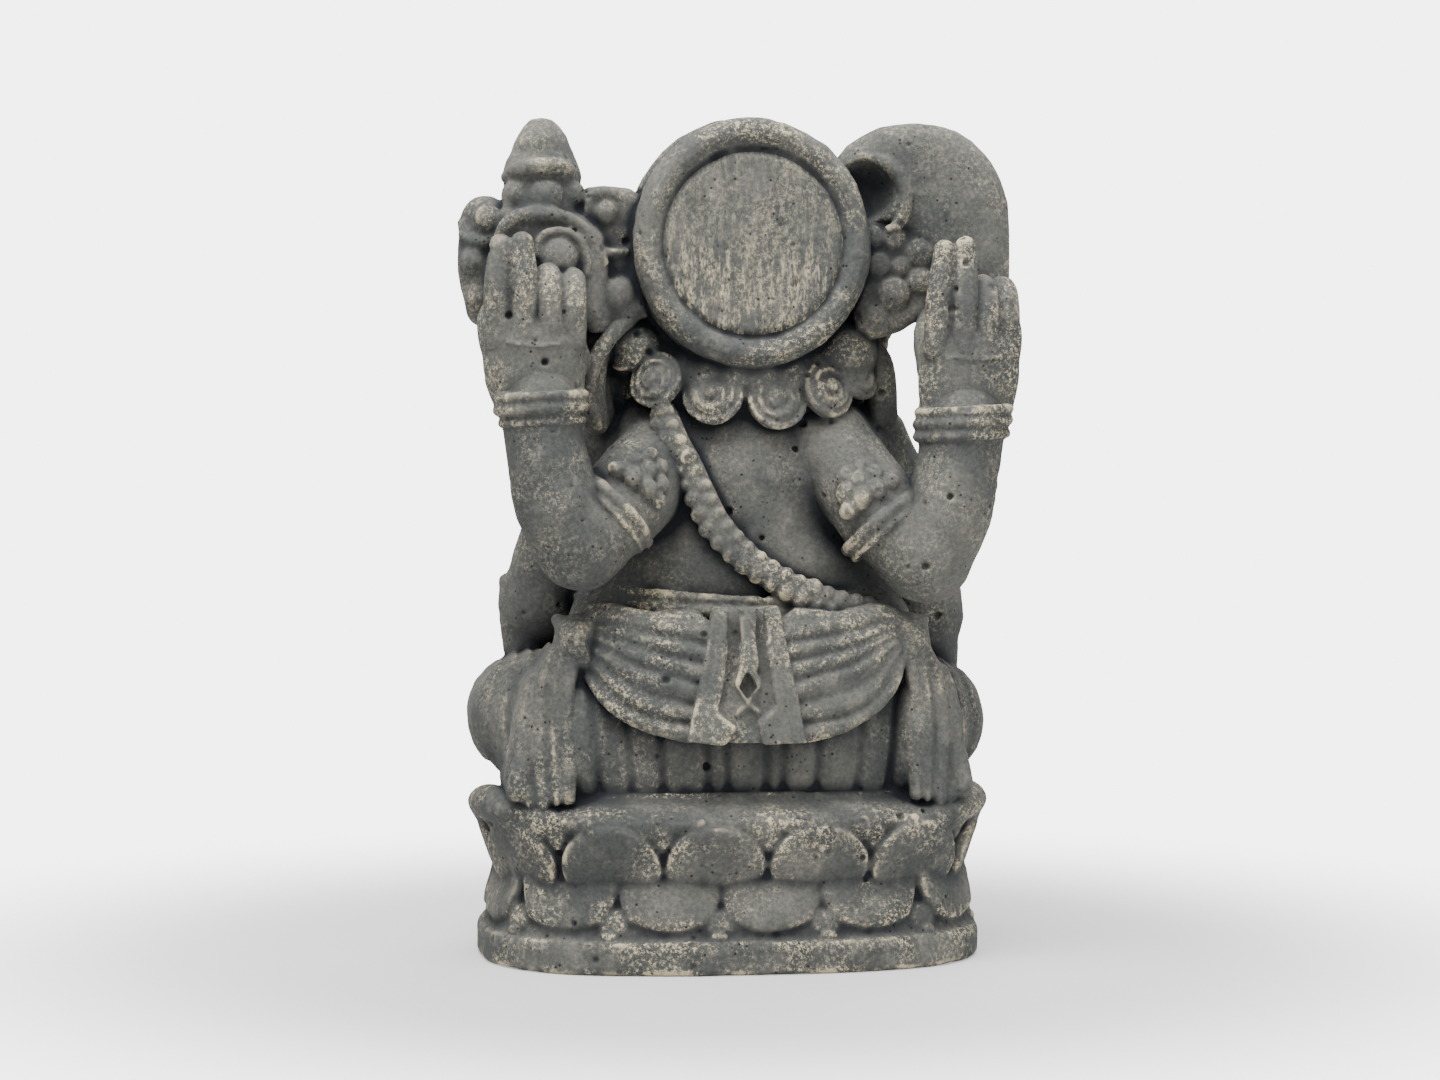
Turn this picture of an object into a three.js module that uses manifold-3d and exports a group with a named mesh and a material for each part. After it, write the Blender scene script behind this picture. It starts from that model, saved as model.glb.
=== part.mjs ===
// A seated four-armed Ganesha idol in weathered volcanic stone, on a double lotus pedestal.
// Millimetres, +Z up. The origin is the middle of the underside; the idol faces -Y, so its left is +X.
// The idol is one carved block. Each carved member is a solid of its own here, cut clear of the
// members placed before it by GAP: the body and head first, then the limbs, then the ornaments.
import * as THREE from "three";
import { mergeVertices } from "three/addons/utils/BufferGeometryUtils.js";
import Module from "manifold-3d";

const wasm = await Module();
wasm.setup();

// ---------------------------------------------------------------- driving dimensions

const GAP = 0.4; // clearance between neighbouring members
const FACET = 0.15; // how far a flattened facet may lie from the carved form
const PLAN_POWER = 2.8; // superellipse power of the pedestal's rounded-rectangle plan
const SLAB = { top: 14, halfWidth: 117, halfDepth: 84 };
const WAIST = { z: 44.5, halfWidth: 108, halfDepth: 75 }; // narrowest line between the two lotus rows
const LIP = { z: 67.5, halfWidth: 120, halfDepth: 94 }; // widest line of the upper lotus row
const SEAT_Z = 80; // where the figure sits
const PETALS = 13; // petals in each lotus row

const MID_X = -4; // the figure leans a little to its right of the pedestal's middle
const BELT_Z = 166;
const NECK_Z = 262;
const HEAD = { y: -8, z: 316, rx: 50, ry: 48, rz: 50 };
const DRUM = { z: 329, radius: 56, back: 64, front: 6 }; // headdress drum, its flat end facing back
const PANEL_RADIUS = 44; // sawn disc inside the drum's rim
const ARM_BACK_Y = 60; // plane of the two raised rear arms
const ARM_RADIUS = 18.5;
const RIGHT_DROP = 7; // the right rear arm is carved a little lower than the left

// ---------------------------------------------------------------- materials

const stone = (name, colour, roughness) =>
  new THREE.MeshStandardMaterial({ name, color: colour, roughness, metalness: 0 });
const carvedStone = stone("carved_stone", 0x5f605d, 0.85);
const wornStone = stone("worn_relief", 0x77756a, 0.88);
const plinthStone = stone("plinth_stone", 0x66655f, 0.9);
const sawnStone = stone("sawn_face", 0x8a8678, 0.95);

// ---------------------------------------------------------------- geometry to solids and back

const point = (x, y, z) => new THREE.Vector3(x, y, z);

function solidOf(geometry) {
  const bare = geometry.index ? geometry.toNonIndexed() : geometry.clone();
  bare.deleteAttribute("normal");
  bare.deleteAttribute("uv");
  const merged = mergeVertices(bare, 1e-4);
  const triVerts = new Uint32Array(merged.index.array);
  const make = () =>
    new wasm.Manifold(
      new wasm.Mesh({
        numProp: 3,
        vertProperties: merged.attributes.position.array,
        triVerts,
      }),
    );
  const made = make();
  if (made.volume() > 0) return made;
  triVerts.reverse();
  return make();
}

function geometryOf(solid, centre) {
  const mesh = solid.getMesh();
  const geometry = new THREE.BufferGeometry();
  geometry.setAttribute("position", new THREE.BufferAttribute(new Float32Array(mesh.vertProperties), 3));
  geometry.setIndex(new THREE.BufferAttribute(new Uint32Array(mesh.triVerts), 1));
  geometry.translate(-centre.x, -centre.y, -centre.z);
  geometry.computeVertexNormals();
  return geometry;
}

const largestBody = (solid) =>
  solid.decompose().reduce((best, body) => (body.volume() > best.volume() ? body : best));

// ---------------------------------------------------------------- shapes
// A shape is a function of `grow`: it returns the solid with every face moved out by that much.

function placed(geometry, centre, turn = [0, 0, 0]) {
  geometry.rotateX(turn[0]);
  geometry.rotateY(turn[1]);
  geometry.rotateZ(turn[2]);
  geometry.translate(centre.x, centre.y, centre.z);
  return solidOf(geometry);
}

function ball(centre, radii, turn, segments = 12) {
  return (grow) => {
    const geometry = new THREE.SphereGeometry(1, segments, Math.round(segments * 0.6));
    geometry.scale(radii[0] + grow, radii[1] + grow, radii[2] + grow);
    return placed(geometry, centre, turn);
  };
}

// Closed surface through rings of equally many points, with a tip at each end.
function loft(rings, firstTip, lastTip) {
  const count = rings[0].length;
  const positions = [firstTip, ...rings.flat(), lastTip].flatMap((p) => [p.x, p.y, p.z]);
  const last = positions.length / 3 - 1;
  const index = [];
  const at = (ring, i) => 1 + ring * count + (i % count);
  for (let i = 0; i < count; i++) {
    index.push(0, at(0, i + 1), at(0, i));
    index.push(last, at(rings.length - 1, i), at(rings.length - 1, i + 1));
    for (let ring = 0; ring + 1 < rings.length; ring++) {
      index.push(at(ring, i), at(ring, i + 1), at(ring + 1, i + 1));
      index.push(at(ring, i), at(ring + 1, i + 1), at(ring + 1, i));
    }
  }
  const geometry = new THREE.BufferGeometry();
  geometry.setAttribute("position", new THREE.Float32BufferAttribute(positions, 3));
  geometry.setIndex(index);
  return geometry;
}

// A round limb along a smooth curve, with a radius at each point and rounded ends.
// `flat` scales the section along its second direction.
function limb(points, radii, { sides = 8, steps = 5, flat = 1 } = {}) {
  return (grow) => {
    const curve = new THREE.CatmullRomCurve3(points, false, "centripetal");
    const frames = curve.computeFrenetFrames(steps, false);
    const radiusAt = (t) => {
      const place = t * (radii.length - 1);
      const low = Math.min(Math.floor(place), radii.length - 2);
      return THREE.MathUtils.lerp(radii[low], radii[low + 1], place - low) + grow;
    };
    const ringAt = (centre, frame, radius) =>
      Array.from({ length: sides }, (_, i) => {
        const angle = (2 * Math.PI * i) / sides;
        return centre
          .clone()
          .addScaledVector(frames.normals[frame], radius * Math.cos(angle))
          .addScaledVector(frames.binormals[frame], radius * flat * Math.sin(angle));
      });
    const start = curve.getPointAt(0);
    const end = curve.getPointAt(1);
    const cap = 0.6; // how far a rounded end reaches, as a share of its radius
    const rings = [];
    const pull = (centre, frame, share) =>
      centre.clone().addScaledVector(frames.tangents[frame], share * cap);
    rings.push(ringAt(pull(start, 0, -radiusAt(0) * 0.7), 0, radiusAt(0) * 0.7));
    for (let i = 0; i <= steps; i++) {
      rings.push(ringAt(curve.getPointAt(i / steps), i, radiusAt(i / steps)));
    }
    rings.push(ringAt(pull(end, steps, radiusAt(1) * 0.7), steps, radiusAt(1) * 0.7));
    return solidOf(loft(rings, pull(start, 0, -radiusAt(0)), pull(end, steps, radiusAt(1))));
  };
}

// Points round the pedestal's plan.
function planPoint(angle, halfWidth, halfDepth) {
  const bent = (value) => Math.sign(value) * Math.abs(value) ** (2 / PLAN_POWER);
  return point(halfWidth * bent(Math.cos(angle)), halfDepth * bent(Math.sin(angle)), 0);
}

// A pedestal course: levels are [z, halfWidth, halfDepth], lowest first.
function course(levels, sides = 32) {
  return (grow) => {
    const rings = levels.map(([z, halfWidth, halfDepth], level) => {
      const lift = level === 0 ? -grow : level === levels.length - 1 ? grow : 0;
      return Array.from({ length: sides }, (_, i) =>
        planPoint((2 * Math.PI * i) / sides, halfWidth + grow, halfDepth + grow).setZ(z + lift),
      );
    });
    const middle = (ring) => point(0, 0, ring[0].z);
    return solidOf(loft(rings, middle(rings[0]), middle(rings.at(-1))));
  };
}

// Stations at equal steps round the plan, each with its outward direction.
function planStations(count, offset, halfWidth, halfDepth) {
  const samples = 720;
  const ring = Array.from({ length: samples + 1 }, (_, i) =>
    planPoint((2 * Math.PI * i) / samples + Math.PI / 2, halfWidth, halfDepth),
  );
  const lengths = new THREE.CatmullRomCurve3(ring, false, "centripetal");
  return Array.from({ length: count }, (_, i) => {
    const share = ((i + offset) / count) % 1;
    const tangent = lengths.getTangentAt(share);
    return { at: lengths.getPointAt(share), facing: Math.atan2(-tangent.x, tangent.y) };
  });
}

// A row of lotus petals round a course: broad leaves lying on its slope.
function petalRow(offset, { halfWidth, halfDepth, z, height, lean }) {
  const petals = planStations(PETALS, offset, halfWidth, halfDepth).map(({ at, facing }) =>
    ball(at.setZ(z), [6, 22, height], [0, lean, facing], 6),
  );
  return join(...petals);
}

// A turned member: profile points are [radius, along], turned about an axis leaving `centre` along `axis`.
function turned(profile, centre, axis, sides = 14) {
  return (grow) => {
    const middle = profile.reduce((sum, [, along]) => sum + along, 0) / profile.length;
    const inner = Math.min(...profile.map(([radius]) => radius));
    const points = profile.map(([radius, along]) => {
      const out = inner > 0 && radius === inner ? -grow : grow;
      const wide = radius === 0 ? 0 : radius + out;
      return new THREE.Vector2(wide, along + Math.sign(along - middle) * grow);
    });
    const geometry = new THREE.LatheGeometry(points, sides);
    const swing = new THREE.Quaternion().setFromUnitVectors(point(0, 1, 0), axis.clone().normalize());
    geometry.applyQuaternion(swing);
    return placed(geometry, centre);
  };
}

// A ring round a limb, as a closed turned band.
const band = (centre, axis, innerRadius, outerRadius, width) =>
  turned(
    [
      [innerRadius, -width / 2],
      [outerRadius, -width / 2],
      [outerRadius, width / 2],
      [innerRadius, width / 2],
      [innerRadius, -width / 2],
    ],
    centre,
    axis,
  );

// A plate with an outline in its own X and Y, turned and placed.
function plate(outline, thickness, centre, turn) {
  return (grow) => {
    const geometry = new THREE.ExtrudeGeometry(new THREE.Shape(outline), {
      depth: thickness,
      bevelEnabled: true,
      bevelSize: 1.2 + grow,
      bevelThickness: 1.2 + grow,
      bevelOffset: -1.2,
      bevelSegments: 1,
      curveSegments: 8,
    });
    geometry.translate(0, 0, -thickness / 2);
    return placed(geometry, centre, turn);
  };
}

// A smooth closed outline through control points.
const smoothOutline = (points, divisions = 20) =>
  new THREE.SplineCurve([...points, points[0]].map(([x, y]) => new THREE.Vector2(x, y)))
    .getPoints(divisions)
    .slice(0, -1);

const join = (...shapes) => (grow) =>
  shapes.map((shape) => shape(grow)).reduce((whole, next) => whole.add(next));

// ---------------------------------------------------------------- assembling members

const idol = new THREE.Group();
const kept = [];

function section(name, x, y, z) {
  const group = new THREE.Group();
  group.name = name;
  group.position.set(x, y, z);
  idol.add(group);
  return group;
}

const meets = (a, b) =>
  ["min", "max"].every((end, i) => {
    const other = i ? "min" : "max";
    return [0, 1, 2].every((k) => (i ? a[end][k] > b[other][k] : a[end][k] < b[other][k]));
  });

// Adds one member, cut clear of every member placed before it.
function member(group, name, material, shape) {
  const whole = shape(0);
  const box = whole.boundingBox();
  const clear = kept
    .filter((earlier) => meets(box, earlier.box))
    .reduce((left, earlier) => left.subtract(earlier.solid), whole);
  const body = largestBody(clear.simplify(FACET));
  const grown = shape(GAP);
  kept.push({ solid: grown, box: grown.boundingBox() });
  const { min, max } = body.boundingBox();
  const centre = point((min[0] + max[0]) / 2, (min[1] + max[1]) / 2, (min[2] + max[2]) / 2);
  const mesh = new THREE.Mesh(geometryOf(body, centre), material);
  mesh.name = name;
  mesh.position.copy(centre).sub(group.position);
  group.add(mesh);
}

// Left and right: the sign of X, the name, and how much lower that side's rear arm is.
const SIDES = [
  { side: 1, label: "left", drop: 0 },
  { side: -1, label: "right", drop: RIGHT_DROP },
];
const beside = (side, x, y, z) => point(MID_X + side * x, y, z);

// ---------------------------------------------------------------- pedestal

const pedestal = section("pedestal", 0, 0, 0);

member(
  pedestal,
  "plinth_slab",
  plinthStone,
  course([
    [0, SLAB.halfWidth - 1, SLAB.halfDepth - 1],
    [2, SLAB.halfWidth, SLAB.halfDepth],
    [SLAB.top - 2, SLAB.halfWidth, SLAB.halfDepth],
    [SLAB.top, SLAB.halfWidth - 2, SLAB.halfDepth - 2],
  ]),
);

const lowerCore = course([
  [SLAB.top + GAP, SLAB.halfWidth - 5, SLAB.halfDepth - 5],
  [24, SLAB.halfWidth - 4, SLAB.halfDepth - 4],
  [36, WAIST.halfWidth + 1, WAIST.halfDepth + 1],
  [WAIST.z, WAIST.halfWidth - 3, WAIST.halfDepth - 3],
]);
const lowerPetals = petalRow(0.24, {
  halfWidth: WAIST.halfWidth + 1,
  halfDepth: WAIST.halfDepth + 1,
  z: 31,
  height: 15.5,
  lean: -0.28,
});
member(pedestal, "lower_lotus_row", plinthStone, join(lowerCore, lowerPetals));

const upperCore = course([
  [WAIST.z + GAP, WAIST.halfWidth - 3, WAIST.halfDepth - 3],
  [55, WAIST.halfWidth + 3, WAIST.halfDepth + 6],
  [64, LIP.halfWidth - 4, LIP.halfDepth - 5],
  [LIP.z + 2, LIP.halfWidth - 4, LIP.halfDepth - 5],
  [SEAT_Z, LIP.halfWidth - 14, LIP.halfDepth - 24],
]);
const upperPetals = petalRow(0.7, {
  halfWidth: LIP.halfWidth - 10,
  halfDepth: LIP.halfDepth - 11,
  z: 61,
  height: 12,
  lean: 0.5,
});
member(pedestal, "upper_lotus_row", plinthStone, join(upperCore, upperPetals));

// ---------------------------------------------------------------- body and legs

const body = section("body", MID_X, 0, 190);
const TORSO_BACK_Y = 52;

member(
  body,
  "torso",
  carvedStone,
  join(
    ball(point(MID_X, -8, 186), [64, 54, 46], undefined, 16),
    ball(point(MID_X, 10, 228), [62, TORSO_BACK_Y - 10, 46], undefined, 14),
    ball(point(MID_X, 4, 262), [34, 34, 26], undefined, 10),
  ),
);
member(
  body,
  "lap_cloth",
  carvedStone,
  join(
    ball(point(MID_X, 8, 116), [88, 66, 46], undefined, 18),
    course([
      [SEAT_Z + GAP, 84, 60],
      [SEAT_Z + 26, 92, 66],
    ]),
  ),
);
for (const { side, label } of SIDES) {
  member(
    body,
    `${label}_foot`,
    carvedStone,
    limb([beside(side, 52, -70, 92), beside(side, 34, -84, 92), beside(side, 18, -88, 90)], [10, 10, 8], {
      flat: 0.8,
    }),
  );
  member(
    body,
    `${label}_knee`,
    carvedStone,
    limb(
      [
        beside(side, 52, 32, 112),
        beside(side, 86, 12, 112),
        beside(side, 88, -30, 112),
        beside(side, 56, -60, 106),
      ],
      [26, 31, 30, 22],
      { sides: 9, steps: 7 },
    ),
  );
}

// ---------------------------------------------------------------- front arms

for (const { side, label } of SIDES) {
  const group = section(`${label}_front_arm`, MID_X + side * 95, -20, 165);
  const shoulder = beside(side, 58, 2, 232);
  const elbow = beside(side, 92, -26, 166);
  const wrist = beside(side, 60, -74, 168);
  const knuckles = beside(side, 46, -86, 170);
  if (side > 0) {
    member(
      group,
      "sweet_bowl",
      wornStone,
      turned(
        [
          [0, 0],
          [12, 1],
          [20, 10],
          [21, 18],
          [0, 21],
        ],
        point(44, -84, 178),
        point(0, 0, 1),
        18,
      ),
    );
  } else {
    member(
      group,
      "held_tusk",
      wornStone,
      limb([point(-50, -88, 158), point(-50, -90, 184), point(-47, -88, 206)], [6, 5, 3], { steps: 4 }),
    );
  }
  member(
    group,
    `${label}_front_hand`,
    carvedStone,
    ball(knuckles, [15, 13, 12], [0, 0, side * 0.5], 10),
  );
  member(
    group,
    `${label}_front_forearm`,
    carvedStone,
    join(
      limb([elbow, wrist], [20, 13], { steps: 5 }),
      band(elbow.clone().lerp(wrist, 0.86), wrist.clone().sub(elbow), 9, 17, 8),
    ),
  );
  member(
    group,
    `${label}_front_upper_arm`,
    carvedStone,
    limb([shoulder, shoulder.clone().lerp(elbow, 0.5).add(point(side * 4, 0, 0)), elbow], [20, 20, 20]),
  );
}

// ---------------------------------------------------------------- rear arms and what they hold

const armGroups = {};
for (const { side, label, drop } of SIDES) {
  const group = section(`${label}_rear_arm`, MID_X + side * 76, ARM_BACK_Y, 178 - drop);
  armGroups[label] = group;
  const lower = (p) => p.setZ(p.z - drop);
  const shoulder = lower(beside(side, 46, 26, 236));
  const elbow = lower(beside(side, 77, 56, 190));
  const wrist = lower(beside(side, 96, ARM_BACK_Y, 254));
  const upperAxis = elbow.clone().sub(shoulder);

  member(
    group,
    `${label}_rear_forearm`,
    carvedStone,
    limb([elbow, elbow.clone().lerp(wrist, 0.5).add(point(side * 6, 0, 0)), wrist], [ARM_RADIUS, 19, 18]),
  );
  member(
    group,
    `${label}_rear_upper_arm`,
    carvedStone,
    limb([shoulder, shoulder.clone().lerp(elbow, 0.5), elbow], [19, ARM_RADIUS, ARM_RADIUS + 2]),
  );
  member(
    group,
    `${label}_rear_hand`,
    carvedStone,
    limb(
      [lower(beside(side, 96, 61, 268)), lower(beside(side, 99, 64, 284)), lower(beside(side, 98, 66, 300))],
      [20, 24, 24],
      { sides: 9, steps: 4, flat: 0.58 },
    ),
  );
  // Two fingers stand up along the held thing; the other two fold over it.
  const raised = (side > 0 ? [108, 97.5] : [85, 94.5]).map((x) =>
    limb([lower(beside(side, x, 70, 300)), lower(beside(side, x + 1, 66, 334))], [6, 5], { steps: 3 }),
  );
  member(group, `${label}_raised_fingers`, carvedStone, join(...raised));
  const folded = (side > 0 ? [86, 77] : [105, 114]).map((x) =>
    limb(
      [
        lower(beside(side, x, 71, 296)),
        lower(beside(side, x, 68, 313)),
        lower(beside(side, x, 54, 313)),
      ],
      [6, 6, 5],
      { steps: 5 },
    ),
  );
  member(group, `${label}_folded_fingers`, carvedStone, join(...folded));
  member(
    group,
    `${label}_rear_thumb`,
    carvedStone,
    limb(
      [lower(beside(side, side > 0 ? 80 : 82, 54, 282)), lower(beside(side, side > 0 ? 84 : 88, 42, 304))],
      [6, 5],
      { steps: 3 },
    ),
  );

  member(
    group,
    `${label}_bracelet`,
    wornStone,
    band(lower(beside(side, 96, ARM_BACK_Y, 256)), point(side * 0.12, 0, 1), 18, 24, 16),
  );
  const armletBand = band(shoulder.clone().lerp(elbow, 0.52), upperAxis, 17, 24, 7);
  const armletCrest = ball(
    shoulder.clone().lerp(elbow, 0.3).add(point(side * 3, 16, 0)),
    [14, 8, 16],
    [0.2, side * 0.75, 0],
    9,
  );
  member(group, `${label}_armlet`, wornStone, join(armletBand, armletCrest));
}

// The left rear hand holds a jewelled finial: a stepped bud with side scrolls.
const FINIAL = { x: 89, y: 40, tip: 385 };
const finialBud = turned(
  [
    [0, 0],
    [14, 2],
    [19, 12],
    [17, 16],
    [19, 20],
    [20, 30],
    [15, 36],
    [15, 42],
    [11, 50],
    [6, 59],
    [0, 61],
  ],
  point(FINIAL.x, FINIAL.y, FINIAL.tip - 61),
  point(0, 0, 1),
  12,
);
const scroll = { sides: 6, steps: 4, flat: 1.25 };
const finialScrolls = [
  limb([point(109, 38, 300), point(117, 38, 318), point(114, 38, 340)], [9, 10, 9], scroll),
  limb([point(72, 38, 300), point(64, 36, 318), point(66, 34, 343)], [8, 9, 10], scroll),
];
const finialStem = limb(
  [point(92, 40, 262), point(90, 40, 292), point(89, 40, 330)],
  [7, 16, 20],
  { steps: 4 },
);
member(armGroups.left, "jewelled_finial", wornStone, join(finialBud, finialStem, ...finialScrolls));

// The right rear hand holds an axe: a broad rounded blade with its back hook, on a short shaft.
const bladeOutline = smoothOutline(
  [
    [-60, 36],
    [-78, 47],
    [-96, 47],
    [-114, 38],
    [-124, 18],
    [-126, -8],
    [-124, -30],
    [-104, -36],
    [-84, -32],
    [-76, -16],
    [-77, 4],
    [-72, 18],
    [-60, 20],
  ],
  34,
);
member(
  armGroups.right,
  "axe_blade",
  carvedStone,
  plate(bladeOutline, 22, point(0, 34, 337), [Math.PI / 2, 0, 0]),
);
member(
  armGroups.right,
  "axe_shaft",
  carvedStone,
  limb([point(-98, 40, 254), point(-98, 40, 275), point(-97, 38, 298)], [8, 8, 9], { steps: 4 }),
);

// ---------------------------------------------------------------- headdress and head

const crown = section("headdress", MID_X, 0, DRUM.z);
const drumCentre = point(MID_X - 1, 0, DRUM.z);

member(
  crown,
  "crown_drum",
  carvedStone,
  turned(
    [
      [0, DRUM.front],
      [DRUM.radius - 2, DRUM.front],
      [DRUM.radius + 1, DRUM.front + 20],
      [DRUM.radius, DRUM.back - 14 - GAP],
      [0, DRUM.back - 14 - GAP],
    ],
    drumCentre,
    point(0, 1, 0),
    26,
  ),
);
member(
  crown,
  "crown_rim",
  wornStone,
  turned(
    [
      [PANEL_RADIUS, DRUM.back - 14],
      [DRUM.radius, DRUM.back - 14],
      [DRUM.radius + 1, DRUM.back - 6],
      [DRUM.radius - 4, DRUM.back],
      [PANEL_RADIUS + 2, DRUM.back],
      [PANEL_RADIUS, DRUM.back - 2],
      [PANEL_RADIUS, DRUM.back - 14],
    ],
    drumCentre,
    point(0, 1, 0),
    26,
  ),
);
member(
  crown,
  "crown_panel",
  sawnStone,
  turned(
    [
      [0, DRUM.back - 14],
      [PANEL_RADIUS - GAP, DRUM.back - 14],
      [PANEL_RADIUS - GAP, DRUM.back - 3],
      [PANEL_RADIUS - 3, DRUM.back - 1],
      [0, DRUM.back - 1],
    ],
    drumCentre,
    point(0, 1, 0),
    26,
  ),
);

const head = section("head", MID_X, HEAD.y, HEAD.z);
const skull = ball(point(MID_X, HEAD.y, HEAD.z), [HEAD.rx, HEAD.ry, HEAD.rz], undefined, 16);
const eyes = SIDES.map(({ side }) => ball(beside(side, 30, -42, 322), [8, 6, 5], [0, 0, side * 0.7], 8));
member(head, "head_dome", carvedStone, join(skull, ...eyes));
const earOutline = smoothOutline(
  [
    [0, 34],
    [20, 42],
    [40, 34],
    [47, 8],
    [40, -22],
    [22, -46],
    [6, -52],
    [-2, -20],
  ],
  26,
);
for (const { side, label } of SIDES) {
  const outline = earOutline.map(({ x, y }) => new THREE.Vector2(side * x, y));
  const swing = [Math.PI / 2, 0, side * 0.25];
  member(head, `${label}_ear`, carvedStone, plate(outline, 8, beside(side, 46, 4, 312), swing));
  // The right tusk is broken off short: the figure holds its end in the right front hand.
  const tusk = [beside(side, 20, -44, 292), beside(side, 27, -62, 282), beside(side, 30, -72, 280)];
  const whole = side > 0 ? 3 : 2;
  member(
    head,
    `${label}_tusk`,
    carvedStone,
    limb(tusk.slice(0, whole), [7, 6, 3].slice(0, whole), { steps: 4 }),
  );
}
const trunkPath = [
  beside(1, 0, -50, 308),
  beside(1, 0, -66, 280),
  beside(1, 0, -72, 248),
  beside(1, 8, -76, 220),
  beside(1, 30, -80, 204),
  beside(1, 50, -78, 208),
];
member(head, "trunk", carvedStone, limb(trunkPath, [22, 18, 15, 13, 11, 9], { sides: 9, steps: 10 }));
member(
  crown,
  "brow_diadem",
  wornStone,
  join(
    band(point(MID_X, HEAD.y - 14, HEAD.z + 22), point(0, -0.8, 1), 37, 47, 11),
    ball(point(MID_X, -56, 352), [12, 8, 20]),
  ),
);
for (const { side, label } of SIDES) {
  const flowers = [
    [60, 46, 330, 7],
    [67, 48, 318, 7.5],
    [75, 47, 328, 7],
    [66, 46, 303, 8],
    [77, 46, 308, 6.5],
  ].map(([x, y, z, radius]) =>
    ball(beside(side, x, y - 6, z - 4), [radius, radius * 0.8, radius], undefined, 7),
  );
  member(
    crown,
    `${label}_ear_flower`,
    wornStone,
    join(ball(beside(side, 64, 32, 314), [18, 10, 26], undefined, 9), ...flowers),
  );
}
for (const { side, label } of SIDES) {
  member(
    head,
    `${label}_shoulder_lock`,
    carvedStone,
    limb([beside(side, 54, 22, 292), beside(side, 65, 22, 272), beside(side, 62, 24, 250)], [7, 11, 9], {
      flat: 0.7,
    }),
  );
}

// ---------------------------------------------------------------- waist cloth and ornaments

const dress = section("dress", MID_X, 0, BELT_Z);

member(dress, "waist_belt", wornStone, (grow) => {
  const ring = (halfWidth, halfDepth, height) => {
    const rings = [-height / 2, height / 2].map((z) =>
      Array.from({ length: 28 }, (_, i) => {
        const angle = (2 * Math.PI * i) / 28;
        return point(MID_X + halfWidth * Math.cos(angle), halfDepth * Math.sin(angle) - 2, BELT_Z + z);
      }),
    );
    return solidOf(loft(rings, point(MID_X, 0, rings[0][0].z), point(MID_X, 0, rings[1][0].z)));
  };
  return ring(74 + grow, 57 + grow, 9 + 2 * grow).subtract(ring(66 - grow, 49 - grow, 12));
});

const APRON = { topZ: 160, bottomZ: 102, topHalf: 16, bottomHalf: 28 };
member(
  dress,
  "back_apron",
  wornStone,
  plate(
    [
      [-APRON.topHalf, 30],
      [APRON.topHalf, 30],
      [APRON.bottomHalf, -29],
      [-APRON.bottomHalf, -29],
    ].map(([x, y]) => new THREE.Vector2(x, y)),
    12,
    point(0, 70, (APRON.topZ + APRON.bottomZ) / 2),
    [Math.PI / 2 + 0.22, 0, 0],
  ),
);

for (const { side, label } of SIDES) {
  member(dress, `${label}_sash_knot`, carvedStone, ball(beside(side, 80, 44, 150), [10, 13, 15]));
  const fold = (inner, middle, outer, radii) =>
    limb([inner, middle, outer].map((p) => beside(side, ...p)), radii, { sides: 6, steps: 4 });
  const swag = join(
    fold([26, 66, 153], [52, 60, 151], [74, 46, 148], [9, 8, 6]),
    fold([27, 70, 137], [52, 63, 138], [75, 44, 146], [10, 9, 6]),
    fold([27, 75, 118], [55, 68, 124], [76, 47, 142], [11, 10, 7]),
  );
  member(dress, `${label}_sash_swag`, wornStone, swag);
}

member(
  dress,
  "front_apron",
  wornStone,
  plate(
    smoothOutline([
      [-15, 30],
      [15, 30],
      [18, -10],
      [0, -30],
      [-18, -10],
    ]),
    10,
    point(MID_X, -74, 108),
    [Math.PI / 2 - 0.1, 0, 0],
  ),
);

const threadPath = [
  point(34, 42, 252),
  point(23, 50, 226),
  point(9, 54, 199),
  point(-13, 56, 179),
  point(-40, 53, 166.5),
  point(-70, 38, 158),
];
member(
  dress,
  "sacred_thread_back",
  wornStone,
  limb(threadPath, [8, 8.5, 8.5, 8.5, 8, 7], { sides: 7, steps: 9 }),
);
member(
  dress,
  "sacred_thread_front",
  wornStone,
  limb(
    [
      point(38, -24, 250),
      point(34, -46, 226),
      point(10, -62, 196),
      point(-32, -62, 172),
      point(-66, -34, 158),
    ],
    [7, 7.5, 8, 8, 6],
    { sides: 7, steps: 8 },
  ),
);

// The collar: a drooping ring with scroll lobes over the back and the chest.
const COLLAR_LOBES = [-58, -29, 0, 29, 58];
const collar = [1, -1].flatMap((facing) =>
  COLLAR_LOBES.map((degrees) => {
    const angle = THREE.MathUtils.degToRad(degrees);
    const reach = facing > 0 ? 46 : 40;
    return ball(
      point(MID_X + 60 * Math.sin(angle), facing * reach * Math.cos(angle), NECK_Z - 3 - 8 * Math.cos(angle)),
      [15, 14, 15],
      [0, 0, -facing * angle],
      6,
    );
  }),
);
const collarRing = limb(
  Array.from({ length: 9 }, (_, i) => {
    const angle = (2 * Math.PI * (i + 0.02)) / 9;
    return point(MID_X + 50 * Math.sin(angle), 36 * Math.cos(angle), NECK_Z + 3);
  }),
  [11, 11],
  { steps: 12, sides: 6 },
);
member(dress, "scroll_collar", wornStone, join(collarRing, ...collar));

export default idol;
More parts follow.
